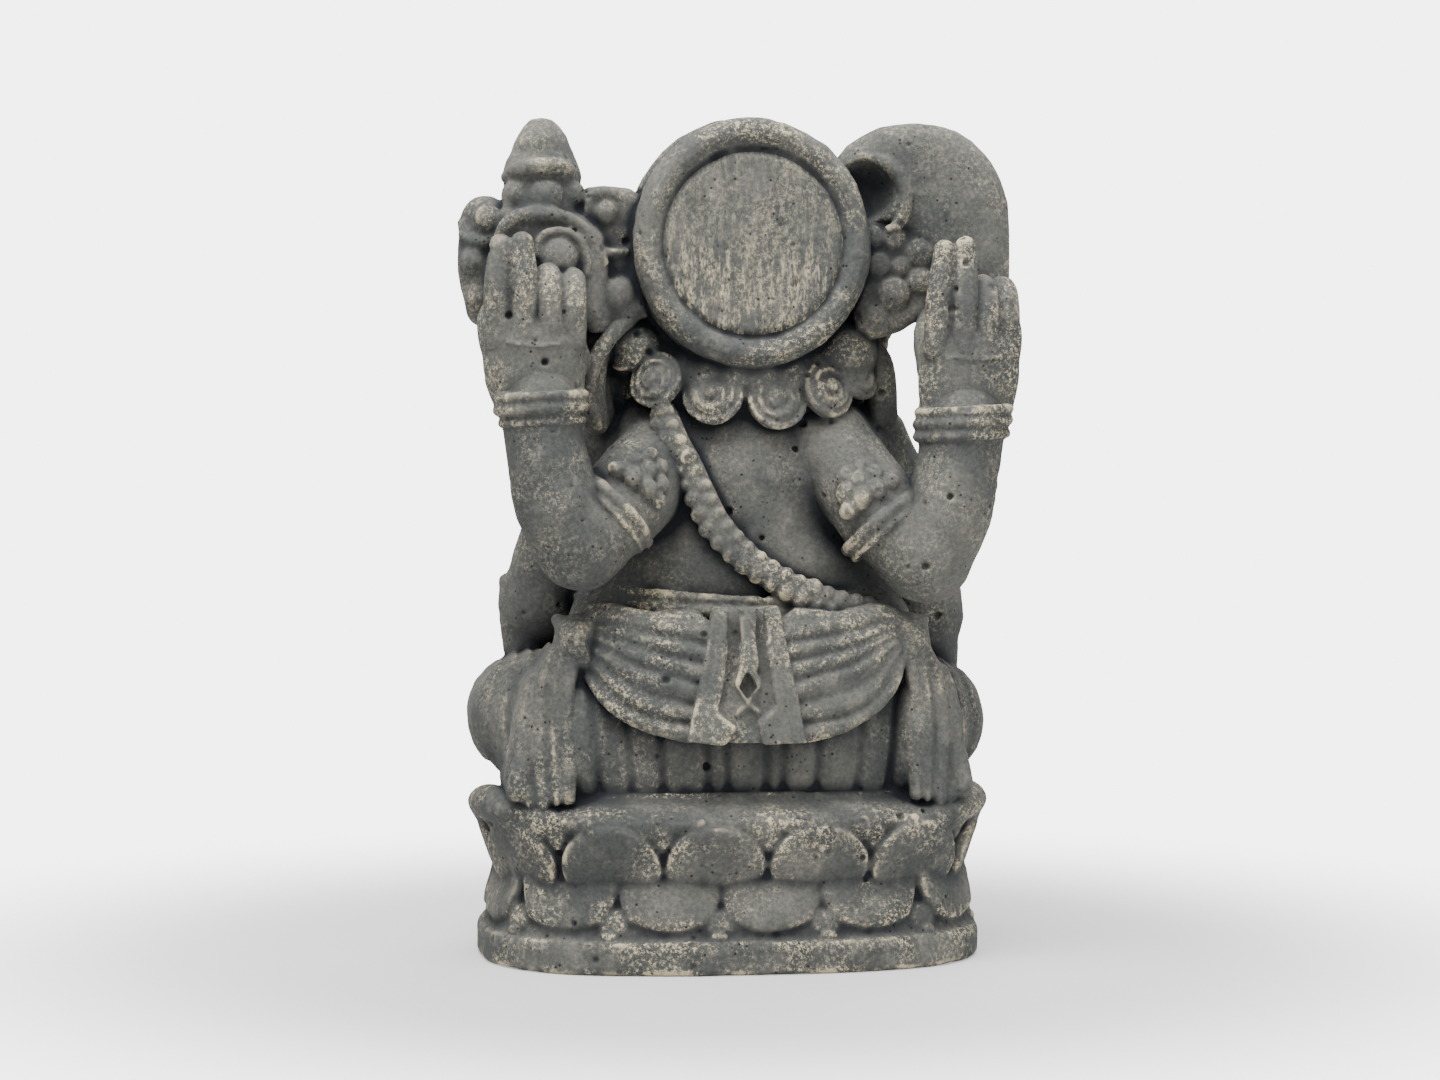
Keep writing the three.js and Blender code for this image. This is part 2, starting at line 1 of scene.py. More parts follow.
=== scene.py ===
"""A seated four-armed Ganesha idol in weathered volcanic stone on a double lotus pedestal.

The figure is carved in a block of voxels: every member is a distance field in the shared frame, the
fields are merged into one stone, pits and chips are cut from it, and each member is then parted from
the block as a closed mesh of its own, thinned where it is even. What repeats or follows a path (petals, beads, scrolls, folds,
thread scales, bracelets) is made by Geometry Nodes first and laid into the block.
Lengths inside the carving are millimetres; finished meshes and settings are in metres.
"""
import math
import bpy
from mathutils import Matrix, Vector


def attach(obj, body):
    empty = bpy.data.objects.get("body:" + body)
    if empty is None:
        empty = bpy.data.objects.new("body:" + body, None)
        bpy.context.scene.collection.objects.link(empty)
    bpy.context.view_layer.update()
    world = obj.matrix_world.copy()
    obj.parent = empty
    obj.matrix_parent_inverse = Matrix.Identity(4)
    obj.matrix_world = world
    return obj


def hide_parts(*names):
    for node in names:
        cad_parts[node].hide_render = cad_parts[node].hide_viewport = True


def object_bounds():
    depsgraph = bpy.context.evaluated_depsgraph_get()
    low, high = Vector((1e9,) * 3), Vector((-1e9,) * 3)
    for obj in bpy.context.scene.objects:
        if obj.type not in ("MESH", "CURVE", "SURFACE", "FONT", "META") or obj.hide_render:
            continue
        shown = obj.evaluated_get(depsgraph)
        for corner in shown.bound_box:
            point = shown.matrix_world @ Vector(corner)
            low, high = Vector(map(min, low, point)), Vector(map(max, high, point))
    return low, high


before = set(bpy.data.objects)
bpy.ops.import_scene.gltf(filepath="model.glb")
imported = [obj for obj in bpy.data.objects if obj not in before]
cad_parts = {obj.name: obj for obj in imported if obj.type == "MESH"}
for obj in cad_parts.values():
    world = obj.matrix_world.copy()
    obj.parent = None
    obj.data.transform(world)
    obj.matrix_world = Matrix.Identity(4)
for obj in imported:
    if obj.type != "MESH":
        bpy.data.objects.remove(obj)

from concurrent.futures import ThreadPoolExecutor

import bpy
import numpy as np
import openvdb as vdb
from bpy.props import FloatProperty, FloatVectorProperty, IntProperty, PointerProperty
from mathutils import Euler, Vector

CAD_BOX = [list(corner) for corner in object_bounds()]

bl_info = {
    "name": "Weathered stone idol",
    "version": (1, 0, 0),
    "blender": (4, 5, 0),
    "location": "View3D > Sidebar > Stone idol",
    "description": "Carves a seated four-armed idol on a lotus pedestal, member by member",
    "category": "Add Mesh",
}

MM = 0.001
CELL = 0.9  # voxel edge of the block
MOST_TRIANGLES = 190_000  # in one piece
KEPT_SHARE = 0.56  # of a piece's triangles, once its even stretches are thinned
FAR = 40.0
MARGIN = 6.0  # how far round a member its field is kept
SKIN = 8.0  # depth to which weathering reads the stone's field
FOOT = 2.5  # height below which nothing is chipped, so that the block stands flat
SWELLS = ((26.0, 0.45), (9.0, 0.35), (3.6, 0.22))  # width and height of the uneven lumps
SHELL = 3.0  # how far a member runs on under its neighbours
MID = -4.0  # the figure sits a little to its right of the pedestal's middle
SIDES = ((1, "left"), (-1, "right"))  # sign of X and name


# ---------------------------------------------------------------- distance fields


def soft_min(a, b, blend):
    """The smaller of two fields, with a fillet about `blend` wide where they meet."""
    if blend <= 0:
        return np.minimum(a, b)
    lap = np.maximum(blend - np.abs(a - b), 0)
    return np.minimum(a, b) - lap * lap / (4 * blend)


def soft_max(a, b, blend):
    return -soft_min(-a, -b, blend)


def spread(axes):
    """Three 1-D axes as arrays that broadcast to the block."""
    x, y, z = axes
    return x[:, None, None], y[None, :, None], z[None, None, :]


def window(axes, lo, hi, margin):
    return tuple(
        slice(*np.searchsorted(axis, (a - margin, b + margin))) for axis, a, b in zip(axes, lo, hi)
    )


class Form:
    """A solid: the box it lives in and a rule giving its signed distance on a set of axes."""

    def __init__(self, lo, hi, rule):
        self.lo, self.hi, self.rule = np.array(lo, float), np.array(hi, float), rule

    def on(self, axes):
        return self.rule(axes)


def egg(centre, radii, turn=None):
    radii = np.broadcast_to(np.array(radii, np.float32), 3)
    reach = radii if turn is None else np.full(3, radii.max())

    def rule(axes):
        x, y, z = (a - np.float32(c) for a, c in zip(spread(axes), centre))
        if turn is not None:
            m = np.array(Euler(turn).to_matrix(), np.float32)
            x, y, z = (x * m[0, i] + y * m[1, i] + z * m[2, i] for i in range(3))
        near = np.sqrt((x / radii[0]) ** 2 + (y / radii[1]) ** 2 + (z / radii[2]) ** 2)
        slope = np.sqrt(
            (x / radii[0] ** 2) ** 2 + (y / radii[1] ** 2) ** 2 + (z / radii[2] ** 2) ** 2
        )
        return near * (near - 1) / np.maximum(slope, 1e-3)

    return Form(centre - reach, centre + reach, rule)


def along(points, spans=5):
    """A smooth path through points (Catmull-Rom), `spans` steps between each two."""
    p = np.array(points, float)
    if len(p) == 2:
        spans = 1
    p = np.vstack([2 * p[0] - p[1], p, 2 * p[-1] - p[-2]])
    path = []
    for i in range(1, len(p) - 2):
        for t in np.arange(spans) / spans:
            a, b, c, d = p[i - 1 : i + 3]
            path.append(
                0.5
                * (
                    2 * b
                    + (c - a) * t
                    + (2 * a - 5 * b + 4 * c - d) * t**2
                    + (3 * b - a - 3 * c + d) * t**3
                )
            )
    path.append(p[-2])
    return np.array(path)


def limb(points, radii, flat=(1, 1, 1), spans=5):
    """A round limb through points. `flat` is how much thinner it is along each axis."""
    girth = along([[r, 0, 0] for r in radii], spans)[:, 0]
    if len(radii) != len(points):
        girth = np.interp(
            np.linspace(0, 1, (len(points) - 1) * (1 if len(points) == 2 else spans) + 1),
            np.linspace(0, 1, len(radii)),
            radii,
        )
    path = along(points, spans)
    scale = 1 / np.array(flat, np.float32)
    reach = girth.max() * np.array(flat)

    def rule(axes):
        x, y, z = (a * s for a, s in zip(spread(axes), scale))
        best = None
        for a, b, ra, rb in zip(path * scale, path[1:] * scale, girth, girth[1:]):
            px, py, pz = x - np.float32(a[0]), y - np.float32(a[1]), z - np.float32(a[2])
            run = (b - a).astype(np.float32)
            square = np.float32(max(run @ run, 1e-6))
            ahead = px * run[0] + py * run[1] + pz * run[2]
            t = np.clip(ahead / square, 0, 1)
            gap = px * px + py * py + pz * pz - 2 * t * ahead + t * t * square
            d = np.sqrt(np.maximum(gap, 0)) - (np.float32(ra) + np.float32(rb - ra) * t)
            best = d if best is None else np.minimum(best, d)
        return best

    return Form(path.min(0) - reach, path.max(0) + reach, rule)


def outline_distance(u, v, outline):
    """Signed distance in the plane to a closed outline."""
    p = np.array(outline, np.float32)
    best = np.full(np.broadcast(u, v).shape, 1e9, np.float32)
    inside = np.zeros(best.shape, bool)
    for (ax, ay), (bx, by) in zip(p, np.roll(p, -1, 0)):
        ex, ey = bx - ax, by - ay
        t = np.clip(((u - ax) * ex + (v - ay) * ey) / max(ex * ex + ey * ey, 1e-9), 0, 1)
        best = np.minimum(best, (u - ax - ex * t) ** 2 + (v - ay - ey * t) ** 2)
        if by != ay:
            crossing = (ay > v) != (by > v)
            inside ^= crossing & (u < ax + ex * (v - ay) / (by - ay))
    return np.where(inside, -1, 1).astype(np.float32) * np.sqrt(best)


def line_distance(u, v, paths):
    """Distance in the plane to the nearest of several open lines."""
    best = np.full(np.broadcast(u, v).shape, 1e9, np.float32)
    for path in paths:
        for (ax, ay), (bx, by) in zip(path, path[1:]):
            ex, ey = bx - ax, by - ay
            t = np.clip(((u - ax) * ex + (v - ay) * ey) / max(ex * ex + ey * ey, 1e-9), 0, 1)
            best = np.minimum(best, (u - ax - ex * t) ** 2 + (v - ay - ey * t) ** 2)
    return np.sqrt(best)


def creased(form, paths, width, depth, reach=1000.0):
    """The form with creases cut along lines drawn in X and Z, dying out `reach` from the middle."""
    lines = [along([(x, z, 0) for x, z in path])[:, :2] for path in paths]

    def amount(x, y, z):
        return groove(line_distance(x, z, lines), width, depth) * np.clip((reach - np.abs(x)) / 16, 0, 1)

    return pressed(form, amount)


def plate(outline, middle, half, rounding=2.0, smooth=0):
    """A plate facing Y with an outline in X and Z. `middle` gives its Y from x and z."""
    if smooth:
        outline = along(outline + outline[:1], smooth)[:-1]
    p = np.array(outline, float)
    at = middle if callable(middle) else lambda x, z: middle + 0 * x + 0 * z
    depths = [float(at(np.float64(a), np.float64(b))) for a, b in p]
    lo = [p[:, 0].min(), min(depths) - half, p[:, 1].min()]
    hi = [p[:, 0].max(), max(depths) + half, p[:, 1].max()]

    def rule(axes):
        x, y, z = spread(axes)
        edge = outline_distance(x, z, outline)
        return soft_max(edge, np.abs(y - at(x, z)) - half, rounding)

    return Form(lo, hi, rule)


def spun(profile, centre, axis="Y", stretch=(1, 1)):
    """A turned solid. The profile is [radius, along] pairs; `stretch` makes it oval."""
    p = np.array(profile, float)
    k = "XYZ".index(axis)
    others = [i for i in range(3) if i != k]
    reach = np.zeros(3)
    reach[others] = p[:, 0].max() * np.array(stretch)
    lo, hi = np.array(centre, float) - reach, np.array(centre, float) + reach
    lo[k], hi[k] = centre[k] + p[:, 1].min(), centre[k] + p[:, 1].max()

    def rule(axes):
        grid = spread(axes)
        a, b = ((grid[i] - np.float32(centre[i])) / np.float32(s) for i, s in zip(others, stretch))
        place = np.squeeze(np.sqrt(a * a + b * b), k) * 10
        steps = np.arange(0, place.max() + 2, dtype=np.float32)[:, None] / 10
        table = outline_distance(steps, (axes[k] - np.float32(centre[k]))[None, :], profile)
        low = place.astype(np.int32)
        share = (place - low)[..., None].astype(np.float32)
        value = table[low] * (1 - share) + table[low + 1] * share
        return np.moveaxis(value, -1, k)

    return Form(lo, hi, rule)


def ring(centre, axis, radius, thick, flat=1.0):
    """A plain ring about any axis."""
    n = np.array(axis, float) / np.linalg.norm(axis)
    reach = radius + thick

    def rule(axes):
        x, y, z = (a - np.float32(c) for a, c in zip(spread(axes), centre))
        up = x * np.float32(n[0]) + y * np.float32(n[1]) + z * np.float32(n[2])
        out = np.sqrt(np.maximum(x * x + y * y + z * z - up * up, 0)) - radius
        return np.sqrt(out * out + (up / flat) ** 2) - thick

    centre = np.array(centre, float)
    return Form(centre - reach, centre + reach, rule)


def merge(forms, blend=0.0):
    lo = np.min([f.lo for f in forms], 0)
    hi = np.max([f.hi for f in forms], 0)

    def rule(axes):
        whole = np.full([len(a) for a in axes], FAR, np.float32)
        for f in forms:
            part = window(axes, f.lo, f.hi, MARGIN + blend)
            if any(s.start >= s.stop for s in part):
                continue
            there = f.on([a[s] for a, s in zip(axes, part)])
            whole[part] = soft_min(whole[part], there, blend)
        return whole

    return Form(lo, hi, rule)


def cut(form, tools, blend=1.0):
    """The form with every tool carved out of it."""

    def rule(axes):
        whole = form.on(axes)
        whole = np.array(np.broadcast_to(whole, [len(a) for a in axes]), np.float32)
        for tool in tools:
            part = window(axes, tool.lo, tool.hi, blend)
            if any(s.start >= s.stop for s in part):
                continue
            there = tool.on([a[s] for a, s in zip(axes, part)])
            whole[part] = soft_max(whole[part], -there, blend)
        return whole

    return Form(form.lo, form.hi, rule)


def pressed(form, amount):
    """The form with its surface moved in by amount(x, y, z) millimetres."""
    return Form(form.lo, form.hi, lambda axes: form.on(axes) + amount(*spread(axes)))


def kept_in(form, lo, hi, rounding=2.0):
    """The part of a form inside a box."""

    def rule(axes):
        whole = form.on(axes)
        for a, low, high in zip(spread(axes), lo, hi):
            whole = soft_max(whole, np.maximum(np.float32(low) - a, a - np.float32(high)), rounding)
        return whole

    return Form(np.maximum(form.lo, lo), np.minimum(form.hi, hi), rule)


def groove(u, width, depth):
    """A narrow groove's depth at distance u from its line."""
    return depth * np.exp(-((u / width) ** 2))


# ---------------------------------------------------------------- geometry nodes


def node(tree, kind, inputs=(), **settings):
    """Adds a node. Inputs are given by name, as values or as sockets to link from."""
    made = tree.nodes.new(kind)
    for key, value in settings.items():
        setattr(made, key, value)
    for key, value in dict(inputs).items():
        socket = made.inputs[key]
        if isinstance(value, bpy.types.NodeSocket):
            tree.links.new(value, socket)
        else:
            socket.default_value = value
    return made


def nodes_tree(name, sockets):
    tree = bpy.data.node_groups.new(name, "GeometryNodeTree")
    face = tree.interface
    face.new_socket("Geometry", in_out="INPUT", socket_type="NodeSocketGeometry")
    for label, kind, default in sockets:
        socket = face.new_socket(label, in_out="INPUT", socket_type=f"NodeSocket{kind}")
        if default is not None:
            socket.default_value = default
    face.new_socket("Geometry", in_out="OUTPUT", socket_type="NodeSocketGeometry")
    return tree, tree.nodes.new("NodeGroupInput").outputs


def named(tree, name, kind="FLOAT"):
    made = node(tree, "GeometryNodeInputNamedAttribute", {"Name": name}, data_type=kind)
    return made.outputs["Attribute"]


def finish_tree(tree, geometry, stone):
    real = node(tree, "GeometryNodeRealizeInstances", {"Geometry": geometry})
    laid = node(tree, "GeometryNodeSetMaterial", {"Geometry": real.outputs[0], "Material": stone})
    out = tree.nodes.new("NodeGroupOutput")
    tree.links.new(laid.outputs[0], out.inputs[0])
    return tree


def rib_tree():
    """Round ribs along paths, as thick as each path's girth attribute."""
    tree, given = nodes_tree("Carved rib", [("Sides", "Int", 10), ("Stone", "Material", None)])
    path = node(tree, "GeometryNodeMeshToCurve", {"Mesh": given["Geometry"]})
    section = node(
        tree, "GeometryNodeCurvePrimitiveCircle", {"Radius": 1.0, "Resolution": given["Sides"]}
    )
    rib = node(
        tree,
        "GeometryNodeCurveToMesh",
        {
            "Curve": path.outputs[0],
            "Profile Curve": section.outputs[0],
            "Scale": named(tree, "girth"),
            "Fill Caps": True,
        },
    )
    return finish_tree(tree, rib.outputs[0], given["Stone"])


def set_out(tree, given, shape):
    """Stands a shape at every point, its X along the point's facing, leaned and varied."""
    turn = node(
        tree,
        "FunctionNodeAlignRotationToVector",
        {"Vector": named(tree, "facing", "FLOAT_VECTOR")},
        axis="X",
        pivot_axis="AUTO",
    )
    lean = node(tree, "ShaderNodeCombineXYZ", {"X": named(tree, "roll"), "Y": given["Lean"]})
    lean_turn = node(tree, "FunctionNodeEulerToRotation", {"Euler": lean.outputs[0]})
    turned = node(
        tree,
        "FunctionNodeRotateRotation",
        {"Rotation": turn.outputs[0], "Rotate By": lean_turn.outputs[0]},
        rotation_space="LOCAL",
    )
    vary = node(tree, "FunctionNodeRandomValue", {"Seed": given["Seed"]}, data_type="FLOAT")
    spare = node(tree, "ShaderNodeMath", {0: 1.0, 1: given["Variation"]}, operation="SUBTRACT")
    tree.links.new(spare.outputs[0], vary.inputs[2])
    vary.inputs[3].default_value = 1.0
    size = node(
        tree, "ShaderNodeMath", {0: named(tree, "girth"), 1: vary.outputs[1]}, operation="MULTIPLY"
    )
    stood = node(
        tree,
        "GeometryNodeInstanceOnPoints",
        {
            "Points": given["Geometry"],
            "Instance": shape,
            "Rotation": turned.outputs[0],
            "Scale": size.outputs[0],
        },
    )
    return stood.outputs[0]


ROW_SOCKETS = [("Lean", "Float", 0.0), ("Variation", "Float", 0.0), ("Seed", "Int", 1)]


def petal_tree():
    """A row of lotus petals: broad leaves, squared at the shoulders and drawn to a slight point."""
    tree, given = nodes_tree(
        "Lotus row",
        [
            ("Thickness", "Float", 5.0),
            ("Half width", "Float", 23.0),
            ("Half height", "Float", 16.0),
            ("Point", "Float", 0.1),
            ("Squareness", "Float", 0.45),
            ("Flatness", "Float", 0.0),
            *ROW_SOCKETS,
            ("Stone", "Material", None),
        ],
    )
    ball = node(tree, "GeometryNodeMeshUVSphere", {"Segments": 32, "Rings": 24, "Radius": 1.0})
    at = node(tree, "ShaderNodeSeparateXYZ", {0: node(tree, "GeometryNodeInputPosition").outputs[0]})

    def maths(operation, a, b=0.0):
        return node(tree, "ShaderNodeMath", {0: a, 1: b}, operation=operation).outputs[0]

    x, y, z = at.outputs
    wide, high = maths("ABSOLUTE", y), maths("ABSOLUTE", z)
    radius = maths("SQRT", maths("ADD", maths("MULTIPLY", y, y), maths("MULTIPLY", z, z)))
    square = maths("DIVIDE", maths("ADD", radius, 0.01), maths("ADD", maths("MAXIMUM", wide, high), 0.01))
    square = maths("POWER", square, given["Squareness"])
    level = maths(
        "POWER", maths("ADD", maths("ABSOLUTE", x), 0.02), maths("MULTIPLY", given["Flatness"], -1.0)
    )
    tip = maths("MULTIPLY", maths("SUBTRACT", 1.0, wide), given["Point"])
    tip = maths("MULTIPLY", tip, z)
    tall = maths("ADD", maths("MULTIPLY", z, square), tip)
    moved = node(
        tree,
        "ShaderNodeCombineXYZ",
        {
            0: maths("MULTIPLY", maths("MULTIPLY", x, level), given["Thickness"]),
            1: maths("MULTIPLY", maths("MULTIPLY", y, square), given["Half width"]),
            2: maths("MULTIPLY", tall, given["Half height"]),
        },
    )
    petal = node(
        tree, "GeometryNodeSetPosition", {"Geometry": ball.outputs[0], "Position": moved.outputs[0]}
    )
    return finish_tree(tree, set_out(tree, given, petal.outputs[0]), given["Stone"])


def scroll_tree():
    """Spiral scrolls, one at each point, coiling in the plane square to the point's facing."""
    tree, given = nodes_tree(
        "Carved scroll",
        [
            ("Turns", "Float", 1.3),
            ("Inner radius", "Float", 0.15),
            ("Outer radius", "Float", 1.0),
            ("Thickness", "Float", 0.22),
            *ROW_SOCKETS,
            ("Stone", "Material", None),
        ],
    )
    coil = node(
        tree,
        "GeometryNodeCurveSpiral",
        {
            "Resolution": 24,
            "Rotations": given["Turns"],
            "Start Radius": given["Inner radius"],
            "End Radius": given["Outer radius"],
            "Height": 0.0,
        },
    )
    section = node(
        tree, "GeometryNodeCurvePrimitiveCircle", {"Radius": given["Thickness"], "Resolution": 8}
    )
    scroll = node(
        tree,
        "GeometryNodeCurveToMesh",
        {"Curve": coil.outputs[0], "Profile Curve": section.outputs[0], "Fill Caps": True},
    )
    up = node(
        tree,
        "GeometryNodeTransform",
        {"Geometry": scroll.outputs[0], "Rotation": (0.0, math.pi / 2, 0.0)},
    )
    return finish_tree(tree, set_out(tree, given, up.outputs[0]), given["Stone"])


TREES = {}


def grown(kind, points, edges=(), attributes=None, **inputs):
    """Runs a carving tree on a scaffold of points and gives the result as a Form."""
    if kind not in TREES:
        TREES[kind] = {"rib": rib_tree, "petal": petal_tree, "scroll": scroll_tree}[kind]()
    tree = TREES[kind]
    mesh = bpy.data.meshes.new("scaffold")
    mesh.from_pydata([tuple(p) for p in points], list(edges), [])
    for name, values in (attributes or {}).items():
        values = np.array(values, np.float32)
        shape = "FLOAT_VECTOR" if values.ndim == 2 else "FLOAT"
        layer = mesh.attributes.new(name, shape, "POINT")
        layer.data.foreach_set("vector" if values.ndim == 2 else "value", values.ravel())
    scaffold = bpy.data.objects.new("scaffold", mesh)
    bpy.context.collection.objects.link(scaffold)
    modifier = scaffold.modifiers.new("Carving", "NODES")
    modifier.node_group = tree
    for item in tree.interface.items_tree:
        if item.in_out == "INPUT" and item.name in inputs:
            modifier[item.identifier] = inputs[item.name]
        elif item.in_out == "INPUT" and item.name == "Stone":
            modifier[item.identifier] = stone_material("carved_stone")
    depsgraph = bpy.context.evaluated_depsgraph_get()
    result = bpy.data.meshes.new_from_object(scaffold.evaluated_get(depsgraph))
    scaffold.modifiers.remove(modifier)
    result.calc_loop_triangles()
    co = np.empty(len(result.vertices) * 3, np.float32)
    result.vertices.foreach_get("co", co)
    tri = np.empty(len(result.loop_triangles) * 3, np.int32)
    result.loop_triangles.foreach_get("vertices", tri)
    bpy.data.objects.remove(scaffold)
    bpy.data.meshes.remove(mesh)
    bpy.data.meshes.remove(result)
    co, tri = co.reshape(-1, 3), tri.reshape(-1, 3)
    if not len(tri):
        raise RuntimeError(f"the {kind} tree made nothing")
    grid = vdb.FloatGrid.createLevelSetFromPolygons(
        co,
        triangles=tri.astype(np.uint32),
        transform=vdb.createLinearTransform(CELL),
        halfWidth=(MARGIN + 1) / CELL,
    )

    def rule(axes):
        start = [int(round(float(a[0]) / CELL)) for a in axes]
        values = np.empty([len(a) for a in axes], np.float32)
        grid.copyToArray(values, ijk=tuple(start))
        return values

    return Form(co.min(0), co.max(0), rule)


def ribs(paths, spans=6, sides=10):
    """Carved ribs: each path is (points, radii)."""
    points, edges, girth = [], [], []
    for path, radii in paths:
        line = along(path, spans)
        first = len(points)
        points.extend(line)
        edges.extend((first + i, first + i + 1) for i in range(len(line) - 1))
        girth.extend(np.interp(np.linspace(0, 1, len(line)), np.linspace(0, 1, len(radii)), radii))
    return grown("rib", points, edges, {"girth": girth}, Sides=sides)


def hoops(rings, spans=40):
    """Closed ribs: each is (centre, axis, radius, thickness)."""
    points, edges, girth = [], [], []
    for centre, axis, radius, thick in rings:
        n = Vector(axis).normalized()
        u = n.orthogonal().normalized()
        v = n.cross(u)
        first = len(points)
        for i in range(spans):
            a = 2 * math.pi * i / spans
            p = Vector(centre) + radius * (math.cos(a) * u + math.sin(a) * v)
            points.append(tuple(p))
            edges.append((first + i, first + (i + 1) % spans))
            girth.append(thick)
    return grown("rib", points, edges, {"girth": girth}, Sides=10)


def row(kind, stations, **inputs):
    """Shapes at stations: each is (point, facing, size, roll)."""
    points = [s[0] for s in stations]
    given = {
        "facing": [tuple(Vector(s[1]).normalized()) for s in stations],
        "girth": [s[2] if len(s) > 2 else 1.0 for s in stations],
        "roll": [s[3] if len(s) > 3 else 0.0 for s in stations],
    }
    return grown(kind, points, (), given, **inputs)


def leaves(stations, size, lean, seed, squareness=0.0, point=0.0, flatness=0.0, variation=0.0):
    """Petals of one size: thickness, half width and half height."""
    thickness, half_width, half_height = size
    return row(
        "petal",
        stations,
        Thickness=thickness,
        **{"Half width": half_width, "Half height": half_height},
        Squareness=squareness,
        Point=point,
        Flatness=flatness,
        Lean=lean,
        Variation=variation,
        Seed=seed,
    )


def beads(stations, thickness=1.0, width=1.0, height=1.0, variation=0.0, seed=1):
    return row(
        "petal",
        stations,
        Thickness=thickness,
        **{"Half width": width, "Half height": height, "Squareness": 0.0},
        Point=0.0,
        Variation=variation,
        Seed=seed,
    )


# ---------------------------------------------------------------- the block


class Block:
    """The stone block: merged field, members, and the fields that part them from each other."""

    def __init__(self):
        lo, hi = (np.array(c) / MM for c in CAD_BOX)
        first = np.floor((lo - 5) / CELL).astype(int)
        last = np.ceil((hi + 5) / CELL).astype(int)
        self.first = first
        self.axes = [
            (np.arange(a, b) * CELL).astype(np.float32) for a, b in zip(first, last)
        ]
        self.queue = []
        self.members = {}

    def place(self, name, form, slot="carved_stone", blend=1.2):
        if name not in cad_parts:
            raise RuntimeError(f"no member is called {name}")
        self.queue.append((name, form, slot, blend))

    def settle(self):
        """Works out every member's field and merges them."""
        shape = [len(a) for a in self.axes]
        self.stone = np.full(shape, FAR, np.float32)
        self.nearest = self.stone.copy()
        self.second = self.stone.copy()

        def work(item):
            name, form, slot, blend = item
            part = window(self.axes, form.lo, form.hi, MARGIN)
            field = form.on([a[s] for a, s in zip(self.axes, part)])
            shape = [s.stop - s.start for s in part]
            return name, part, np.array(np.broadcast_to(field, shape), np.float32), slot, blend

        with ThreadPoolExecutor(4) as pool:
            for order, (name, part, field, slot, blend) in enumerate(pool.map(work, self.queue)):
                self.stone[part] = soft_min(self.stone[part], field, blend)
                field += 0.3 * (order % 3)  # no two members claim the same skin
                self.members[name] = (part, field, slot)
                nearest = self.nearest[part]
                self.second[part] = np.minimum(self.second[part], np.maximum(nearest, field))
                self.nearest[part] = np.minimum(nearest, field)

    def surface_points(self, count, chance, choice=None):
        """Random points on the stone's surface, as voxel places."""
        face = np.abs(self.stone) < 0.6 * CELL
        if choice is not None:
            face &= choice
        places = np.argwhere(face)
        if not len(places):
            return places
        return places[chance.integers(0, len(places), count)]

    def weather(self, settings):
        """Uneven surface, pits and chipped edges, all from a fixed seed."""
        chance = np.random.default_rng(settings.seed)
        self.stone = np.clip(self.stone, -SKIN, SKIN)
        reach = max(1, round(0.8 / CELL))
        self.stone = np.minimum(self.stone, blur(blur(self.stone, reach), reach) + np.float32(0.12))
        for size, height in SWELLS:
            self.stone += cloud(self.stone.shape, size / CELL, chance) * np.float32(height)
        inside = np.clip(0.5 - self.stone / CELL, 0, 1)
        edge = blur(inside, max(1, round(2.4 / CELL))) < 0.36
        lo, hi = (np.array(c) / MM for c in CAD_BOX)
        floor_clear = np.zeros(self.stone.shape, bool)
        floor_clear[:, :, self.axes[2] > FOOT] = True
        for p in self.surface_points(settings.chips, chance, edge & floor_clear):
            radius = 1.0 + 2.6 * chance.random() ** 2
            self.dig(p, radius, lift=radius * 0.35, chance=chance, squeeze=1.6)
        for p in self.surface_points(settings.pits, chance, floor_clear):
            radius = 0.5 + (settings.largest_pit / MM / 2 - 0.5) * chance.random() ** 8
            self.dig(p, radius, lift=0.0, chance=chance, squeeze=1.0)
        x, y, z = spread(self.axes)
        for axis, low, high in zip((x, y, z), lo, hi):
            self.stone = np.maximum(self.stone, np.maximum(low - axis, axis - high)).astype(np.float32)

    def dig(self, place, radius, lift, chance, squeeze):
        reach = int(math.ceil((radius + lift) * 1.4 / CELL)) + 1
        part = tuple(slice(max(0, p - reach), p + reach + 1) for p in place)
        x, y, z = (a[s] - a[p] for a, s, p in zip(self.axes, part, place))
        shift = (chance.random(3) - 0.5) * radius * 0.6
        slopes = np.gradient(self.stone[part])
        middle = tuple(s // 2 for s in self.stone[part].shape)
        out = np.array([g[middle] for g in slopes])
        out /= max(np.linalg.norm(out), 1e-6)
        shift += out * lift
        scale = 1 + (squeeze - 1) * chance.random(3)
        d = np.sqrt(
            ((x - shift[0]) * scale[0])[:, None, None] ** 2
            + ((y - shift[1]) * scale[1])[None, :, None] ** 2
            + ((z - shift[2]) * scale[2])[None, None, :] ** 2
        )
        self.stone[part] = np.maximum(self.stone[part], (radius - d).astype(np.float32))

    def read_wear_and_shade(self):
        """Fields telling edges from hollows at three scales: they give the rubbed edges and the painted
        shade in hollows.
        """
        inside = np.clip(0.5 - self.stone / CELL, 0, 1)
        self.shade = {
            "edge_wear": blur(inside, max(1, round(1.6 / CELL))),
            "hollow": blur(blur(inside, round(3.2 / CELL)), round(3.2 / CELL)),
            "shelter": blur(blur(inside, round(9 / CELL)), round(9 / CELL)),
        }

